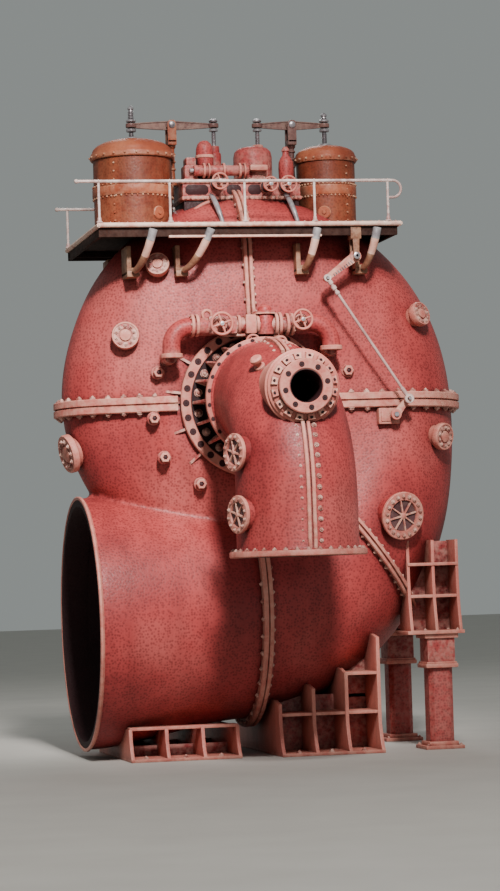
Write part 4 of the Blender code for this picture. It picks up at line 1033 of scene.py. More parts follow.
def deckPieces():
    edge = Shape()
    x0, x1 = deck["x"]
    h, z, t, r = deck["half"], deck["z"], deck["thick"], deck["lip"]
    edge.block(x0 + r, x1 - r, -h + r, h - r, z + 0.03, z + t - 0.008, 0, 0.008)
    # the underside strip and the skirts below the long edges are painted near-black as the shade under the
    # deck
    edge.block(x0 + r, x1 - r, -h + r, h - r, z + 0.004, z + 0.029, 1, 0.004)
    wide = (2 * h - 2 * r - 0.04) / deck["planks"]
    for k in range(deck["planks"]):
        y0 = -h + r + 0.02 + wide * k
        edge.block(x0 + r, x1 - r, y0 + 0.008, y0 + wide - 0.008, z + t - 0.02, z + t - 0.001, 0, 0.006)
    for s in (1, -1):
        edge.rod((x0 + 0.02, s * (h - r), z + t / 2), (x1 - 0.02, s * (h - r), z + t / 2), t / 2, 0, 16)
        edge.block(x0 + 0.04, x1 - 0.10, s * (h - 0.10), s * (h - 0.16), z - 0.20, z + 0.004, 1, 0.01)
        edge.block(x0 + 1.60, x1 - 1.85, s * (h - 0.05), s * (h - 0.17), z - 0.225, z - 0.175, 0, 0.012)
    for x in (x0 + r, x1 - r):
        edge.rod((x, -h + 0.02, z + t / 2), (x, h - 0.02, z + t / 2), t / 2, 0, 16)
    place(edge, "deck_plating", [deckPaint, underShade], ["deck_plate"])
    run = [x0 + 0.12 + (x1 - x0 - 0.24) * k / (deck["rivets"] - 1) for k in range(deck["rivets"])]
    nutRows.extend((Vector((x, s * (h - 0.12), z + t)), Vector(upward), 0.22) for s in (1, -1) for x in run)
    under = Shape()
    z1 = z - gap
    # the joists are painted near-black as shade
    for x in (-3.30, 3.41):
        under.block(x, x + 0.08, -2.18, 2.18, z1 - 0.18, z1, 0, 0.01)
    for s in (1, -1):
        under.block(-3.30, 3.49, s * 2.06, s * 2.12, z1 - 0.14, z1, 0, 0.01)
    place(under, "deck_joists", [underShade])
    frames = Shape()
    for s in (1, -1):
        for bx, sx, lip in brackets:
            us = [k / 16 for k in range(17)]
            path = [(bx + (sx + 0.02 - bx) * u, s * (2.26 - (2.20 - lip) * u ** 1.5),
                     z1 - 0.03 - 0.85 * (1 - (1 - u) ** 1.6)) for u in us]
            thick = [0.10 - 0.032 * u for u in us]
            # the lower run of each bracket takes the dark brown shaded paint of the shoes
            for first, last, mat in ((0, 4, 1), (3, 9, 0), (8, 17, 3)):
                frames.pipe(path[first:last], thick[first:last], mat, 14)
            frames.block(sx - 0.14, sx + 0.14, s * lip, s * 0.9, 10.77, 10.90, 3, 0.012)
            frames.block(sx - 0.14, sx - 0.04, s * (lip - 0.02), s * 0.9, 10.83, 11.46, 3, 0.012)
            frames.turned((sx + 0.02, s * (lip - 0.14), 10.90), upward,
                          [(0.10, 0), (0.10, 0.05), (0.06, 0.08)], 3, 18)
    # the rocker arm's hanger: two cheeks, the head they hang from, and the pin
    hx, pinZ = deck["hangerX"], deck["pinZ"]
    for top, waist, toe, toeZ, y0, y1 in ((0.09, 0.06, 0.03, 11.02, -2.275, -2.225),
                                          (0.11, 0.08, 0.04, 11.00, -2.055, -1.99)):
        half = [(top, z1), (waist, 11.10), (toe, toeZ)]
        cheek = [(hx - a, q) for a, q in half] + [(hx + a, q) for a, q in reversed(half)]
        frames.slab(cheek, y0, y1, 3, "xz", 0.01)
    frames.block(hx - 0.12, hx + 0.12, -2.28, -1.98, 11.50, z1 - 0.01, 3, 0.015)
    frames.rod((hx, -2.33, pinZ), (hx, -1.95, pinZ), 0.035, 2, 20, edge=0.006)
    frames.turned((hx, -2.29, pinZ), toFront, [(0.075, 0), (0.075, 0.03), (0.05, 0.04)], 2, 24)
    place(frames, "deck_brackets", [deckPaint, stayGrey, steel, shoeShadedBrown], ["deck_frame"])


def railPieces():
    top = deck["railTop"]
    for s, word, start in ((-1, "front", -3.80), (1, "back", -3.55)):
        y = deck["railY"] * s
        rail = Shape()
        rail.rod((start, y, top), (3.36, y, top), 0.034, 0, 16)
        rail.turned((start, y, top), (-1, 0, 0), [(0.02, -0.05), (0.045, -0.03), (0.05, 0.0), (0.035, 0.03),
                                                  (0.01, 0.04)], 0, 16)
        for x in deck["posts"]:
            rail.rod((x, y, deckFloor), (x, y, top), 0.028, 0, 14)
            rail.turned((x, y, deckFloor), upward, [(0.07, 0), (0.07, 0.02), (0.045, 0.04), (0.04, 0.10),
                                                    (0.028, 0.12)], 0, 16)
            rail.torus((x, y, top), alongX, 0.034, 0.014, 0, 16, 8)
        r = 0.19
        turn = [math.radians(a) for a in range(0, 181, 12)]
        loop = [(3.34, y, top)] + [(3.38 + r * math.sin(a), y, top - r + r * math.cos(a)) for a in turn]
        rail.pipe(loop + [(deck["posts"][4], y, top - 2 * r)], 0.029, 0, 12)
        place(rail, "guard_rail_" + word, [railPaint], ["handrail_" + word])


deckPieces()
railPieces()
print("deck ready")
drums = {"left": {"x": -2.12, "r": 0.93, "rim": 13.74, "apex": 14.08, "seam": -128, "door": 0.45},
         "right": {"x": 2.42, "r": 0.70, "rim": 13.66, "apex": 13.92, "seam": -60, "door": -0.30}}
drumForm = {"band": 12.73, "skin": 0.965, "rivets": 46, "seamRivets": 8, "around": 96, "lid": 14}
levers = {"z": 14.40, "left": {"pivot": -1.20, "spindle": -2.12, "rod": -0.20, "tip": 14.86, "low": 13.02},
          "right": {"pivot": 1.62, "spindle": 2.42, "rod": 0.83, "tip": 14.70, "low": 13.08 + gap}}


def postShape(shape, side):
    # fork for the lever's pin on a turned pillar with rings
    x, low, z, w = levers[side]["pivot"], levers[side]["low"], levers["z"], 0.10
    cheek = [(-w, -0.40), (w, -0.40), (w, 0.03), (0.06, 0.11), (-0.06, 0.11), (-w, 0.03)]
    for s in (1, -1):
        shape.slab([(x + a, z + b) for a, b in cheek], s * 0.10, s * 0.17, 1, "xz", 0.01)
        shape.turned((x, s * 0.17, z), (0, s, 0), [(0.075, 0), (0.075, 0.02), (0.05, 0.035)], 2, 20)
    shape.block(x - w, x + w, -0.17, 0.17, z - 0.46, z - 0.34, 1, 0.015)
    shape.rod((x, -0.19, z), (x, 0.19, z), 0.05, 2, 20, edge=0.006)
    rows = [(0.13, low), (0.13, low + 0.05), (0.085, low + 0.09), (0.075, low + 0.16), (0.070, low + 0.30)]
    rows += climbing(low + 0.34, z - 0.56, 0.17, [(0.070, 0), (0.092, 0.02), (0.092, 0.05), (0.070, 0.07)])
    rows += [(0.070, z - 0.54), (0.10, z - 0.50), (0.10, z - 0.44)]
    shape.turned((x, 0, 0), upward, rows, 1, 24)


def drumPieces():
    low, b, wall = deckFloor, drumForm["band"], drumForm["skin"]
    rivets = []
    for side, spec in drums.items():
        x, r, rim, apex = (spec[key] for key in ("x", "r", "rim", "apex"))
        body = Shape()

        def turned(rows, mat, n=drumForm["around"], scale=r):
            body.turned((x, 0, 0), upward, rows, mat, n, scale)
        turned([(0.90, low + 0.02), (wall, low + 0.06), (wall, rim - 0.10), (0.955, rim - 0.05)], 0)
        turned([(0.95, low), (1.015, low), (1.015, low + 0.05), (0.99, low + 0.09), (0.95, low + 0.10),
                (0.95, low)], 1)
        turned([(0.94, b), (0.985, b + 0.005), (1.0, b + 0.03), (1.0, b + 0.20), (0.985, b + 0.225),
                (0.94, b + 0.23), (0.94, b)], 1)
        lid = [(r * a, rim + h) for a, h in ((0.93, -0.14), (1.01, -0.145), (1.03, -0.12), (1.03, -0.03),
                                             (1.01, 0))]
        for q in (k / drumForm["lid"] for k in range(1, drumForm["lid"] + 1)):
            a = math.pi / 2 * q
            lid.append((r * 0.985 * math.cos(a) + 0.09 * q, rim + (apex - rim) * math.sin(a)))
        lid += [(0.085, apex), (0.085, apex - 0.3), (r * 0.5, rim - 0.10), (r * 0.93, rim - 0.14)]
        turned(lid, 1, scale=1.0)
        # stuffing box round the spindle
        box = [(0.083, -0.25), (0.17, -0.02), (0.17, 0.02), (0.14, 0.05), (0.083, 0.05), (0.083, -0.25)]
        turned([(a, apex + h) for a, h in box], 2, 32, 1.0)
        # thin strip standing inside the steam chest
        strip = [(r * 0.955, -0.07), (r * 0.985, -0.07), (r * 0.985, 0.07), (r * 0.955, 0.07)]
        body.slab(strip, low + 0.1, b, 0, "xy", 0.004)
        for k in range(drumForm["rivets"]):
            a = 2 * math.pi * k / drumForm["rivets"]
            d = Vector((math.cos(a), math.sin(a), 0))
            rows = [(b + 0.255, wall, 0.24), (b - 0.02, wall, 0.24)]
            if k % 2 == 0:
                rows += [(rim - 0.075, 1.03, 0.26), (low + 0.14, wall, 0.22)]
            rivets += [(Vector((x, 0, z)) + d * r * out, d, size) for z, out, size in rows]
        a = math.radians(spec["seam"])
        d = Vector((math.cos(a), math.sin(a), 0))
        for k in range(drumForm["seamRivets"]):
            z = low + 0.25 + (rim - 0.35 - low) * k / drumForm["seamRivets"]
            rivets.append((Vector((x, 0, z)) + d * r * wall, d, 0.24))
        # small inspection door low on the front
        a = math.asin(spec["door"] / drums["left"]["r"])
        d = Vector((math.sin(a), -math.cos(a), 0))
        body.turned(Vector((x, 0, low + 0.42)) + d * r * 0.96, d,
                    [(0.15, -0.05), (0.15, 0.02), (0.13, 0.035), (0.05, 0.035), (0.04, 0.06)], 1, 24)
        if side == "left":
            postShape(body, side)
        place(body, "drum_shell_" + side, [brown, brownLip, steel], ["drum_" + side])
    nutField("drum_rivets", rivets, brownLip, "drum_paint", Across=0.08, Height=0.05, Stud=0.10, Washer=0.012,
             Sides=8)
    post = Shape()
    postShape(post, "right")
    place(post, "lever_pillar_right", [beamPaint, beamPaint, steel], ["lever_post_right"])


def leverArm(side):
    # a beam with thin flanges above and below a thinner web, deepest at the pivot, and an eye at each end
    spec, z, steps = levers[side], levers["z"], 16
    piv = spec["pivot"]
    d0, d1 = sorted((spec["spindle"], spec["rod"]))
    arm = Shape()
    stations = []
    for x in (d0 + (d1 - d0) * i / steps for i in range(steps + 1)):
        near = max(1 - abs(x - piv) / max(abs(d0 - piv), abs(d1 - piv)), 0)
        stations.append((x, 0.040 + 0.065 * near ** 0.8))

    def strip(upper, lower, half):
        pairs = [(Vector((x, 0, z + upper(h))), Vector((x, 0, z + lower(h)))) for x, h in stations]
        arm.bar(pairs, -half, half)
    for s in (1, -1):
        strip(lambda h: s * h, lambda h: s * (h - 0.022), 0.045)
    strip(lambda h: h - 0.01, lambda h: 0.01 - h, 0.03)
    arm.turned((piv, 0, z), alongY, band(0.058, 0.12, -0.078, 0.078, (0.005, 0.008)), 0, 32)
    for x in (d0, d1):
        arm.turned((x, 0, z), upward, band(0.075, 0.122, -0.045, 0.045, (0.004, 0.010)), 0, 28)
    place(arm, "beam_" + side, [beamPaint], ["lever_" + side], "lever_%s_body" % side)


def leverPieces():
    z = levers["z"]
    for side in ("left", "right"):
        leverArm(side)
        spec, apex = levers[side], drums[side]["apex"]
        tip = spec["tip"]
        # screw spindle: fine thread below the lever, a collar each side of it, coarse thread above
        rows = [(0.05, apex - 0.15), (0.05, apex + 0.06)]
        rows += climbing(apex + 0.07, z - 0.20, 0.028, [(0.050, 0), (0.062, 0.008), (0.050, 0.018)])
        rows += [(r, z + h) for r, h in ((0.05, -0.148), (0.11, -0.142), (0.115, -0.12), (0.115, -0.09),
                                         (0.10, -0.075), (0.05, -0.07), (0.05, 0.07), (0.10, 0.075),
                                         (0.115, 0.09), (0.115, 0.12), (0.08, 0.148))]
        rows += climbing(z + 0.15, tip - 0.14, 0.036, [(0.055, 0), (0.072, 0.010), (0.055, 0.022)])
        rows += [(0.05, tip - 0.10), (0.072, tip - 0.085), (0.072, tip - 0.05), (0.04, tip - 0.02),
                 (0.012, tip - 0.001)]
        spindle = Shape()
        spindle.turned((spec["spindle"], 0, 0), upward, rows, 0, 28)
        place(spindle, "screw_" + side, [steel], ["spindle_" + side], "spindle_%s_body" % side)
        rows = [(0.045, 13.72), (0.045, 13.98)]
        rows += climbing(13.99, z - 0.18, 0.034, [(0.045, 0), (0.055, 0.01), (0.045, 0.02)])
        rows += [(r, z + h) for r, h in ((0.045, -0.138), (0.10, -0.132), (0.104, -0.10), (0.09, -0.075),
                                         (0.045, -0.07), (0.045, 0.07), (0.09, 0.075), (0.104, 0.10),
                                         (0.09, 0.135), (0.05, 0.155), (0.02, 0.16))]
        rod = Shape()
        rod.turned((spec["rod"], 0, 0), upward, rows, 0, 28)
        place(rod, "valve_stem_" + side, [steel], ["valve_rod_" + side], "valve_rod_%s_body" % side)


drumPieces()
leverPieces()
print("drums and beams ready")
# x, y, z, radius, length of the stem behind it
wheelSizes = {"handwheel_chest_1": (-0.30, -1.05, 12.98, 0.20, 0.28),
              "handwheel_chest_2": (0.87, -1.05, 12.91, 0.18, 0.28),
              "handwheel_chest_3": (1.29, -1.05, 12.91, 0.20, 0.28),
              "handwheel_pipe_1": (-0.72, -2.72, 9.60, 0.27, 0.22),
              "handwheel_pipe_2": (1.11, -2.72, 9.67, 0.24, 0.22)}
wheelForm = {"tube": 0.125, "spokes": 4, "turn": 0.33, "stem": 0.04, "dish": 0.012, "steps": 8}


def wheelPieces():
    stemR, steps = wheelForm["stem"], wheelForm["steps"]
    us = [i / steps for i in range(steps + 1)]
    for node, (x, y, z, r, stem) in wheelSizes.items():
        wheel = Shape()
        c = Vector((x, y, z))
        tube = r * wheelForm["tube"]
        wheel.torus(c, alongY, r - tube, tube, 0, 56, 12)
        wheel.rod((x, y - 0.055, z), (x, y + stem, z), stemR, 1, 20, edge=0.004)
        wheel.turned(c, toFront, [(0.052, -0.05), (r * 0.27, -0.045), (r * 0.28, -0.03), (r * 0.24, 0.03),
                                  (0.052, 0.045)], 0, 28)
        wheel.turned((x, y - 0.045, z), toFront, [(0.045, 0), (0.045, 0.012), (0.02, 0.016)], 1, 6)
        for k in range(wheelForm["spokes"]):
            a = 2 * math.pi * k / wheelForm["spokes"] + wheelForm["turn"]
            d = Vector((math.cos(a), 0, math.sin(a)))
            path = []
            for u in us:
                dished = Vector((0, -wheelForm["dish"] * math.sin(math.pi * u), 0))
                path.append(c + d * (stemR + (r - tube * 1.2 - stemR) * u) + dished)
            wheel.pipe(path, [tube * (0.85 - 0.25 * u) for u in us], 0, 8)
        place(wheel, node.replace("handwheel", "wheel"), [salmon, steel], [node], node + "_body")


chest = {"blocks": ((-1.08, 1.67, -0.58, 0.58, 12.60, 13.04, 0, 0.03),
                    (-1.05, 1.64, -0.55, 0.55, 12.03, 12.63, 2, 0.03),
                    (-1.10, 1.69, -0.62, 0.62, 12.99, 13.08, 1, 0.02),
                    (-1.10, 1.69, -0.62, 0.62, 12.62, 12.70, 1, 0.02),
                    (-1.02, -0.705, -0.58, -0.11, 13.01, 13.42, 0, 0.05),
                    (0.50, 0.92, -0.62, -0.40, 13.28, 13.42, 1, 0.05),
                    (-0.97, -0.735, -0.53, -0.15, 13.38, 13.60, 0, 0.05),
                    (-1.03, -0.70, -0.59, -0.10, 13.06, 13.11, 1, 0.012)),
         "pockets": ((-1.04, -0.46), (-0.08, 0.30), (0.42, 0.78)), "barrel": (-0.83, -0.66, 13.27),
         "hoops": ((0.21, 0.05), (0.33, 0.035), (0.67, 0.05), (1.04, 0.05), (1.16, 0.035)),
         "nuts": 24, "nutX": (-1.02, 2.63), "nutY": 0.62, "nutZ": (13.035, 12.66), "nut": 0.30}
# x, y, paint, sides, rows of (radius, height)
domes = ((-0.50, -0.35, 0, 40, [(0.235, 13.06), (0.235, 13.11), (0.20, 13.13), (0.20, 13.70), (0.19, 13.82),
                                (0.155, 13.92), (0.09, 13.985), (0.03, 14.0)]),
         (-0.50, -0.35, 1, 40, [(0.19, 13.58), (0.215, 13.60), (0.215, 13.65), (0.19, 13.67), (0.19, 13.58)]),
         (-0.20, 0.0, 0, 40, [(0.073, 13.4), (0.073, 13.93), (0.12, 13.92), (0.125, 13.78), (0.155, 13.75),
                              (0.16, 13.68), (0.16, 13.05), (0.10, 13.02), (0.073, 13.4)]),
         (0.70, 0.0, 0, 56, [(0.073, 13.4), (0.073, 13.90), (0.20, 13.895), (0.34, 13.86), (0.42, 13.78),
                             (0.445, 13.66), (0.445, 13.06), (0.20, 13.03), (0.073, 13.4)]),
         (0.83, 0.0, 1, 40, [(0.073, 13.80), (0.13, 13.82), (0.13, 13.93), (0.11, 13.95), (0.073, 13.95),
                             (0.073, 13.80)]),
         (0.70, 0.0, 1, 56, [(0.43, 13.06), (0.48, 13.06), (0.48, 13.12), (0.43, 13.13), (0.43, 13.06)]),
         (1.40, -0.35, 0, 40, [(0.19, 13.06), (0.19, 13.11), (0.17, 13.12), (0.175, 13.35), (0.165, 13.50),
                               (0.12, 13.60), (0.075, 13.66), (0.07, 13.74), (0.09, 13.75), (0.09, 13.79),
                               (0.05, 13.85), (0.02, 13.86)]))


def chestPiece():
    # steam chest between the drums: lipped box with its lower part and pockets painted near-black as shadow,
    # domes, a governor barrel and stub branches
    shape = Shape()
    for block in chest["blocks"]:
        shape.block(*block)
    for x0, x1 in chest["pockets"]:
        shape.block(x0, x1, -0.600, -0.40, 12.71, 12.985, 2, 0.09)
    us = [i / 10 for i in range(11)]
    shape.pipe([(-1.08 + 0.75 * u, -0.60, 12.16 + 0.42 * math.sin(math.pi / 2 * u)) for u in us], 0.05, 1, 12)
    for x, y, mat, sides, rows in domes:
        shape.turned((x, y, 0), upward, rows, mat, sides)
    barrel = Vector(chest["barrel"])
    shape.turned(barrel, alongX, [(0.05, 0), (0.11, 0.005), (0.12, 0.02), (0.12, 1.26), (0.11, 1.275),
                                  (0.05, 1.28)], 0, 32)
    for along, wide in chest["hoops"]:
        shape.turned(barrel, alongX, band(0.10, 0.172, along, along + wide, (0.007, 0.008)), 1, 32)
    shape.rod(barrel, barrel - Vector(alongX) * 0.09, 0.05, 3, 20, edge=0.01)
    for k in (1, 2, 3):
        x, z = (wheelSizes["handwheel_chest_%d" % k][i] for i in (0, 2))
        at = (x, -0.55, z)
        shape.turned(at, toFront, [(0.15, 0.0), (0.15, 0.09), (0.105, 0.11), (0.095, 0.20), (0.115, 0.21),
                                   (0.115, 0.27), (0.10, 0.29), (0.053, 0.295), (0.053, 0.15), (0.10, 0.05),
                                   (0.15, 0.0)], 1, 28)
        # a near-black disc behind each wheel is painted shade
        shape.turned(at, toFront, [(0.06, 0.10), (0.145, 0.11), (0.145, 0.13), (0.06, 0.135), (0.06, 0.10)],
                     2, 28)
    # curved stays from the chest down to the deck
    us = [i / 12 for i in range(13)]
    for s in (1, -1):
        for x, mat in ((-0.44, 3), (0.10, 1), (1.30, 3)):
            path = [(x + 0.16 * u ** 2, s * (-0.60 - 0.62 * math.sin(math.pi / 2 * u)),
                     12.72 - 0.82 * u ** 1.5) for u in us]
            shape.pipe(path, [0.042 + 0.02 * math.sin(math.pi * u) for u in us], mat, 12)
    place(shape, "steam_chest", [rose, salmon, paintedShadow, stayGrey], ["valve_chest"])
    start, length = chest["nutX"]
    for k in range(chest["nuts"]):
        x = start + length * k / (chest["nuts"] - 1)
        for s in (-1, 1):
            for z in chest["nutZ"]:
                nutRows.append((Vector((x, s * chest["nutY"], z)), Vector((0, s, 0)), chest["nut"]))
    nutRows.extend(circlePoints((0.70, 0, 13.125), upward, 0.455, 16, 0, 0, 0.24))
    nutRows.extend(circlePoints((-0.50, -0.35, 13.11), upward, 0.215, 10, 0, 0, 0.22))


pipeRun = {"y": -2.22, "r": 0.20, "left": (-1.77, 9.16, 0.42), "right": (1.40, 9.64, 0.46),
           "middle": (9.605, 0.17),
           "ringZ": 9.61, "ringWide": 0.07, "rings": ((-1.33, 0.25), (-1.225, 0.25), (0.56, 0.27),
                                                      (0.65, 0.27), (0.82, 0.25), (0.93, 0.25), (-0.28, 0.22),
                                                      (0.14, 0.22)),
           "valves": ((-0.72, 9.60, 0.14), (1.11, 9.67, 0.12)), "ends": ((-1.77, 8.94), (1.86, 9.07)),
           "dials": ((0.02, 9.22, 0.165), (0.66, 9.20, 0.135))}


def pipePiece():
    y, r = pipeRun["y"], pipeRun["r"]
    run = Shape()
    quarter = [math.radians(a) for a in range(0, 91, 6)]
    x, z, bend = pipeRun["left"]
    turn = [(x + bend * (1 - math.cos(a)), y, z + bend * math.sin(a)) for a in quarter]
    run.pipe([(x, y, 8.92), (x, y, 9.10)] + turn + [(-0.9, y, 9.58)], r, 0, 32)
    x, z, bend = pipeRun["right"]
    turn = [(x + bend * math.sin(a), y, z - bend * (1 - math.cos(a))) for a in quarter]
    run.pipe([(0.9, y, z), (x - 0.02, y, z)] + turn + [(x + bend, y, 9.05)], r, 0, 32)
    z, thin = pipeRun["middle"]
    run.rod((-1.0, y, z), (1.0, y, z), thin, 0, 32)
    ringZ, wide = pipeRun["ringZ"], pipeRun["ringWide"]
    for x, outer in pipeRun["rings"]:
        run.turned((x, y, ringZ), alongX, band(0.10, outer, 0, wide, (0.012, 0.012)), 1, 36)
    nutRows.extend(circlePoints((-1.33, y, ringZ), (-1, 0, 0), 0.205, 8, 0, 0, 0.24))
    nutRows.extend(circlePoints((1.0, y, ringZ), alongX, 0.21, 8, 0, 0, 0.24))
    # the two valve bodies and the small domed one, with a boss behind each wheel
    run.block(-0.95, -0.30, y - 0.2, y + 0.2, 9.40, 9.80, 0, 0.06)
    run.block(-0.12, 0.12, y - 0.24, y + 0.16, 9.40, 9.82, 1, 0.03)
    run.turned((0.36, y, 0), upward, [(0.17, 9.37), (0.205, 9.39), (0.21, 9.42), (0.21, 9.80), (0.19, 9.83),
                                      (0.25, 9.84), (0.25, 9.90), (0.16, 9.915), (0.15, 9.98), (0.11, 10.03),
                                      (0.03, 10.06)], 0, 40)
    run.turned((0.36, y, 0), upward, [(0.19, 9.835), (0.255, 9.835), (0.255, 9.865), (0.19, 9.87),
                                      (0.19, 9.835)], 1, 40)
    for x, z, q in pipeRun["valves"]:
        run.turned((x, y, z), toFront, [(q, 0.0), (q, 0.24), (q + 0.02, 0.25), (q + 0.02, 0.30),
                                        (q * 0.8, 0.31), (0.09, 0.36), (0.053, 0.36), (0.053, 0.2),
                                        (q * 0.7, 0.1), (q, 0.0)], 1, 32)
        # a near-black disc behind each wheel is painted shade
        run.turned((x, y, z), toFront, [(0.06, 0.27), (q + 0.035, 0.275), (q + 0.035, 0.295), (0.06, 0.30),
                                        (0.06, 0.27)], 2, 32)
    for x, z in pipeRun["ends"]:
        run.turned((x, y, z - 0.05), upward, band(0.19, 0.25, 0, 0.10, (0.01, 0.012)), 1, 36)
        run.slab([(x - 0.17, y), (x + 0.17, y), (x + 0.15, -1.3), (x - 0.15, -1.3)], z - 0.045, z + 0.045, 1,
                 "xy", 0.01)
        run.rod((x, y + 0.05, z), (x, -1.4, z - 0.05), 0.15, 0, 24)
    run.rod((-0.62, y - 0.05, 9.38), (0.0, y - 0.05, 9.38), 0.035, 1, 16)
    # two fixed dials with a thin rim and a cross of rods, hanging below the run
    stemY, dialY = -2.24, -2.50
    for x, z, q in pipeRun["dials"]:
        run.rod((x, stemY, z), (x, -2.46, z), 0.075, 0, 20, edge=0.01)
        run.rod((x, stemY, z + 0.02), (x, stemY, 9.45), 0.085, 0, 20)
        run.turned((x, stemY, z), upward, [(0.12, 0.10), (0.12, 0.15), (0.09, 0.16)], 1, 20)
        run.torus((x, dialY, z), alongY, q - 0.026, 0.028, 1, 36, 10)
        # the disc behind the cross is painted near-black as shade
        run.turned((x, -2.45, z), toFront, [(0.03, 0.0), (q - 0.03, 0.004), (q - 0.03, 0.02), (0.03, 0.024)],
                   2, 28)
        run.turned((x, -2.46, z), toFront, [(0.04, 0.0), (0.05, 0.05), (0.035, 0.07), (0.01, 0.075)], 1, 16)
        c = Vector((x, dialY, z))
        for a in (0.5, math.pi / 2 + 0.5):
            d = Vector((math.cos(a), 0, math.sin(a))) * (q - 0.03)
            run.rod(c - d, c + d, 0.014, 1, 8)
    half = [math.radians(a) for a in range(0, 181, 15)]
    hook = [(-0.95 - 0.1 * math.cos(a), y, 9.84 + 0.1 * math.sin(a)) for a in half]
    run.pipe([(-1.02, y, 9.75), (-1.04, y, 9.80)] + hook + [(-0.85, y, 9.78)], 0.04, 1, 12)
    place(run, "relief_pipe", [rose, salmon, paintedShadow], ["steam_pipe_run"])


links = {"pivot": Vector((deck["hangerX"], 0, deck["pinZ"])), "top": Vector((1.80, 0, 10.62)),
         "low": Vector((3.60, 0, 7.90)), "crank": Vector((3.33, 0, 7.56)), "rodY": -2.31,
         "armY": (-2.195, -2.085),
         "crankY": (-2.195, -2.105), "ticks": 9}


def atDepth(point, y):
    return Vector((point.x, y, point.z))


def taperedArm(shape, pivot, end, rows, span):
    # flat arm from pivot towards end; rows are (way along, half the depth), returns the ways along and across
    u = (end - pivot).normalized()
    v = Vector((-u.z, 0, u.x))
    shape.bar([(pivot + u * s + v * h, pivot + u * s - v * h) for s, h in rows], *span)
    return u, v


def linkPieces():
    pivot, top, low, crankAt = (links[key] for key in ("pivot", "top", "low", "crank"))
    arm = Shape()
    reach = (top - pivot).length
    rows = [(-0.02, 0.105), (0.2, 0.10), (0.35, 0.088), (reach - 0.1, 0.062), (reach, 0.060),
            (reach + 0.05, 0.03)]
    u, v = taperedArm(arm, pivot, top, rows, links["armY"])
    for k in range(links["ticks"]):
        q = atDepth(pivot + u * (0.16 + 0.062 * k), -2.205)
        arm.rod(q + v * 0.078, q + v * 0.010, 0.012, 1, 8)
    arm.turned(atDepth(pivot, -2.14), alongY, [(0.044, -0.062), (0.125, -0.062), (0.13, -0.05), (0.13, 0.05),
                                               (0.125, 0.06), (0.044, 0.06), (0.044, -0.062)], 0, 32)
    arm.rod(atDepth(top, -2.18), atDepth(top, -2.40), 0.035, 1, 24, edge=0.005)
    arm.turned(atDepth(top, -2.20), toFront, [(0.06, -0.02), (0.068, 0.03), (0.06, 0.045)], 1, 24)
    place(arm, "rocker", [salmon, steel], ["rocker_arm"], "rocker_arm_body")
    a, b = atDepth(top, links["rodY"]), atDepth(low, links["rodY"])
    full = (b - a).length
    rod = Shape()
    rows = [(0.030, 0.07), (0.055, 0.09), (0.055, 0.16), (0.036, 0.17), (0.036, 0.21), (0.058, 0.22),
            (0.058, 0.30), (0.036, 0.31), (0.036, 0.36), (0.055, 0.37), (0.055, 0.42), (0.033, 0.45),
            (0.033, full - 0.30), (0.048, full - 0.28), (0.048, full - 0.18), (0.040, full - 0.10)]
    rod.turned(a, b - a, rows, 0, 24)
    rod.turned(a, alongY, band(0.042, 0.085, -0.045, 0.045, (0.005, 0.01)), 0, 28)
    rod.turned(b, alongY, band(0.050, 0.108, -0.045, 0.045, (0.008, 0.01)), 0, 28)
    place(rod, "pull_link", [railPaint], ["pull_rod"], "pull_rod_body")
    crank = Shape()
    reach = (low - crankAt).length
    rows = [(-0.03, 0.088), (0.12, 0.078), (reach - 0.05, 0.062), (reach, 0.058), (reach + 0.045, 0.03)]
    taperedArm(crank, crankAt, low, rows, links["crankY"])
    crank.turned(atDepth(crankAt, -2.15), alongY, band(0.05, 0.12, -0.05, 0.05, (0.005, 0.01))[:-1], 0, 32)
    crank.rod(atDepth(crankAt, -2.24), atDepth(crankAt, -1.90), 0.056, 1, 24, edge=0.006)
    crank.rod(atDepth(low, -2.14), atDepth(low, -2.42), 0.03, 1, 24, edge=0.005)
    place(crank, "crank_arm", [salmon, steel], ["crank"], "crank_body")


wheelPieces()
chestPiece()
pipePiece()
linkPieces()
nutField("joint_nuts", nutRows, nutPaint)
nutField("bay_nuts", bayRows, nutPaint, Across=0.085, Height=0.06, Stud=0.05)
nutField("sunk_bolts", holeRows, paintedShadow, Across=0.075, Height=0.016, Stud=0.02, Washer=0.014, Sides=12)
print("valve gear and nuts ready", len(nutRows), len(holeRows))
studio = {"half": 160.0, "floorZ": -0.002, "dark": (0.44, 0.42, 0.39, 1), "light": (0.54, 0.52, 0.48, 1),
          "sky": (0.78, 0.84, 0.82, 1), "skyPower": 0.33}
lights = (  # name, kind, place, aim, power, tint, the kind's own settings
    ("keyLight", "AREA", (-4, -36, 40), (0, 0, 7), 12500, (1.0, 0.96, 0.92), {"shape": "DISK", "size": 6.0}),
    ("centreLight", "SPOT", (-4, -40, 35), (-1.7, -2, 8.0), 165000, (1.0, 0.97, 0.94),
     {"spot_size": math.radians(19.5), "spot_blend": 1.0, "shadow_soft_size": 2.5}),
    ("fillLight", "AREA", (4, -40, 5), (0, 0, 6), 500, (0.95, 0.98, 1.0), {"shape": "DISK", "size": 14.0}),
    ("backLight", "AREA", (5, 32, 34), (0, 0, 8), 2400, (1.0, 1.0, 1.0), {"shape": "DISK", "size": 12.0}))


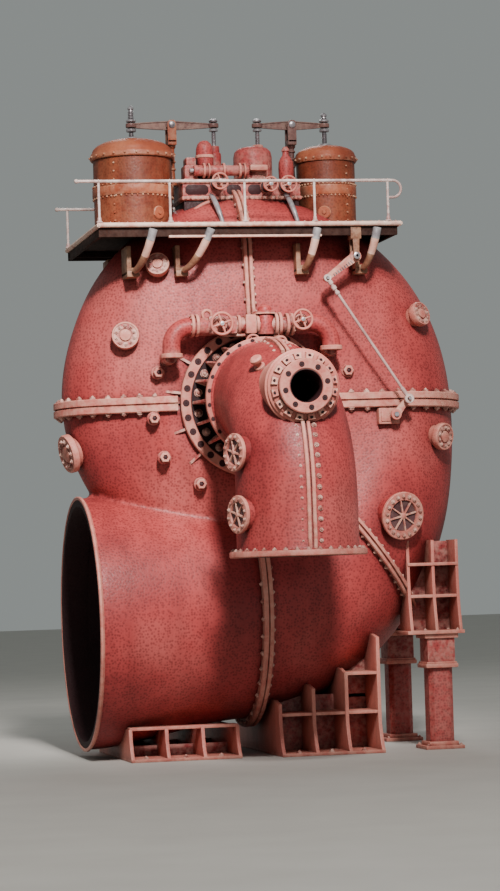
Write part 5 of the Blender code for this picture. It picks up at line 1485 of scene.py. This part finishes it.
def stage():
    floorMat = bpy.data.materials.new("studioFloor")
    floorMat.use_nodes = True
    tree = floorMat.node_tree
    bsdf = tree.nodes["Principled BSDF"]
    where = wire(tree, "ShaderNodeTexCoord", -900, 0)
    noise = wire(tree, "ShaderNodeTexNoise", -700, 0, scale=0.6, detail=6.0)
    ramp = wire(tree, "ShaderNodeValToRGB", -450, 0)
    for element, colour in zip(ramp.color_ramp.elements, (studio["dark"], studio["light"])):
        element.color = colour
    tree.links.new(where.outputs["Object"], noise.inputs["Vector"])
    tree.links.new(noise.outputs["Fac"], ramp.inputs[0])
    tree.links.new(ramp.outputs[0], bsdf.inputs["Base Color"])
    bsdf.inputs["Roughness"].default_value = 0.85
    s, z = studio["half"], studio["floorZ"]
    me = bpy.data.meshes.new("floor")
    me.from_pydata([(-s, -s, z), (s, -s, z), (s, s, z), (-s, s, z)], [], [(0, 1, 2, 3)])
    me.materials.append(floorMat)
    floor = linked("studio_floor", me)
    world = bpy.data.worlds.new("studioWorld")
    bpy.context.scene.world = world
    world.use_nodes = True
    back = world.node_tree.nodes["Background"]
    back.inputs[0].default_value = studio["sky"]
    back.inputs[1].default_value = studio["skyPower"]
    for name, kind, at, aim, power, tint, settings in lights:
        light = bpy.data.lights.new(name, kind)
        light.energy = power
        light.color = tint
        for key, value in settings.items():
            setattr(light, key, value)
        ob = linked(name, light)
        ob.location = at
        ob.rotation_euler = (Vector(aim) - Vector(at)).to_track_quat("-Z", "Y").to_euler()


# focal, centre and picture are in the photo's pixels
camera = {"place": (-13.959, -61.815, 4.107), "yaw": 11.0, "roll": 1.806, "focal": 2749.7,
          "centre": (180.0, 575.0),
          "picture": (500, 891), "sensor": 36.0, "far": 600}


def viewCamera():
    cam = bpy.data.cameras.new("photoCamera")
    ob = linked("photoCamera", cam)
    m = (Matrix.Rotation(-math.radians(camera["yaw"]), 4, "Z") @ Matrix.Rotation(math.radians(90), 4, "X")
         @ Matrix.Rotation(-math.radians(camera["roll"]), 4, "Z"))
    m.translation = Vector(camera["place"])
    ob.matrix_world = m
    wide, high = camera["picture"]
    cam.sensor_fit = "VERTICAL"
    cam.sensor_height = cam.sensor_width = camera["sensor"]
    cam.lens = camera["focal"] * camera["sensor"] / high
    cam.shift_x = (wide / 2 - camera["centre"][0]) / high
    cam.shift_y = (camera["centre"][1] - high / 2) / high
    cam.clip_end = camera["far"]
    bpy.context.scene.camera = ob


stage()
viewCamera()
print("stage ready")
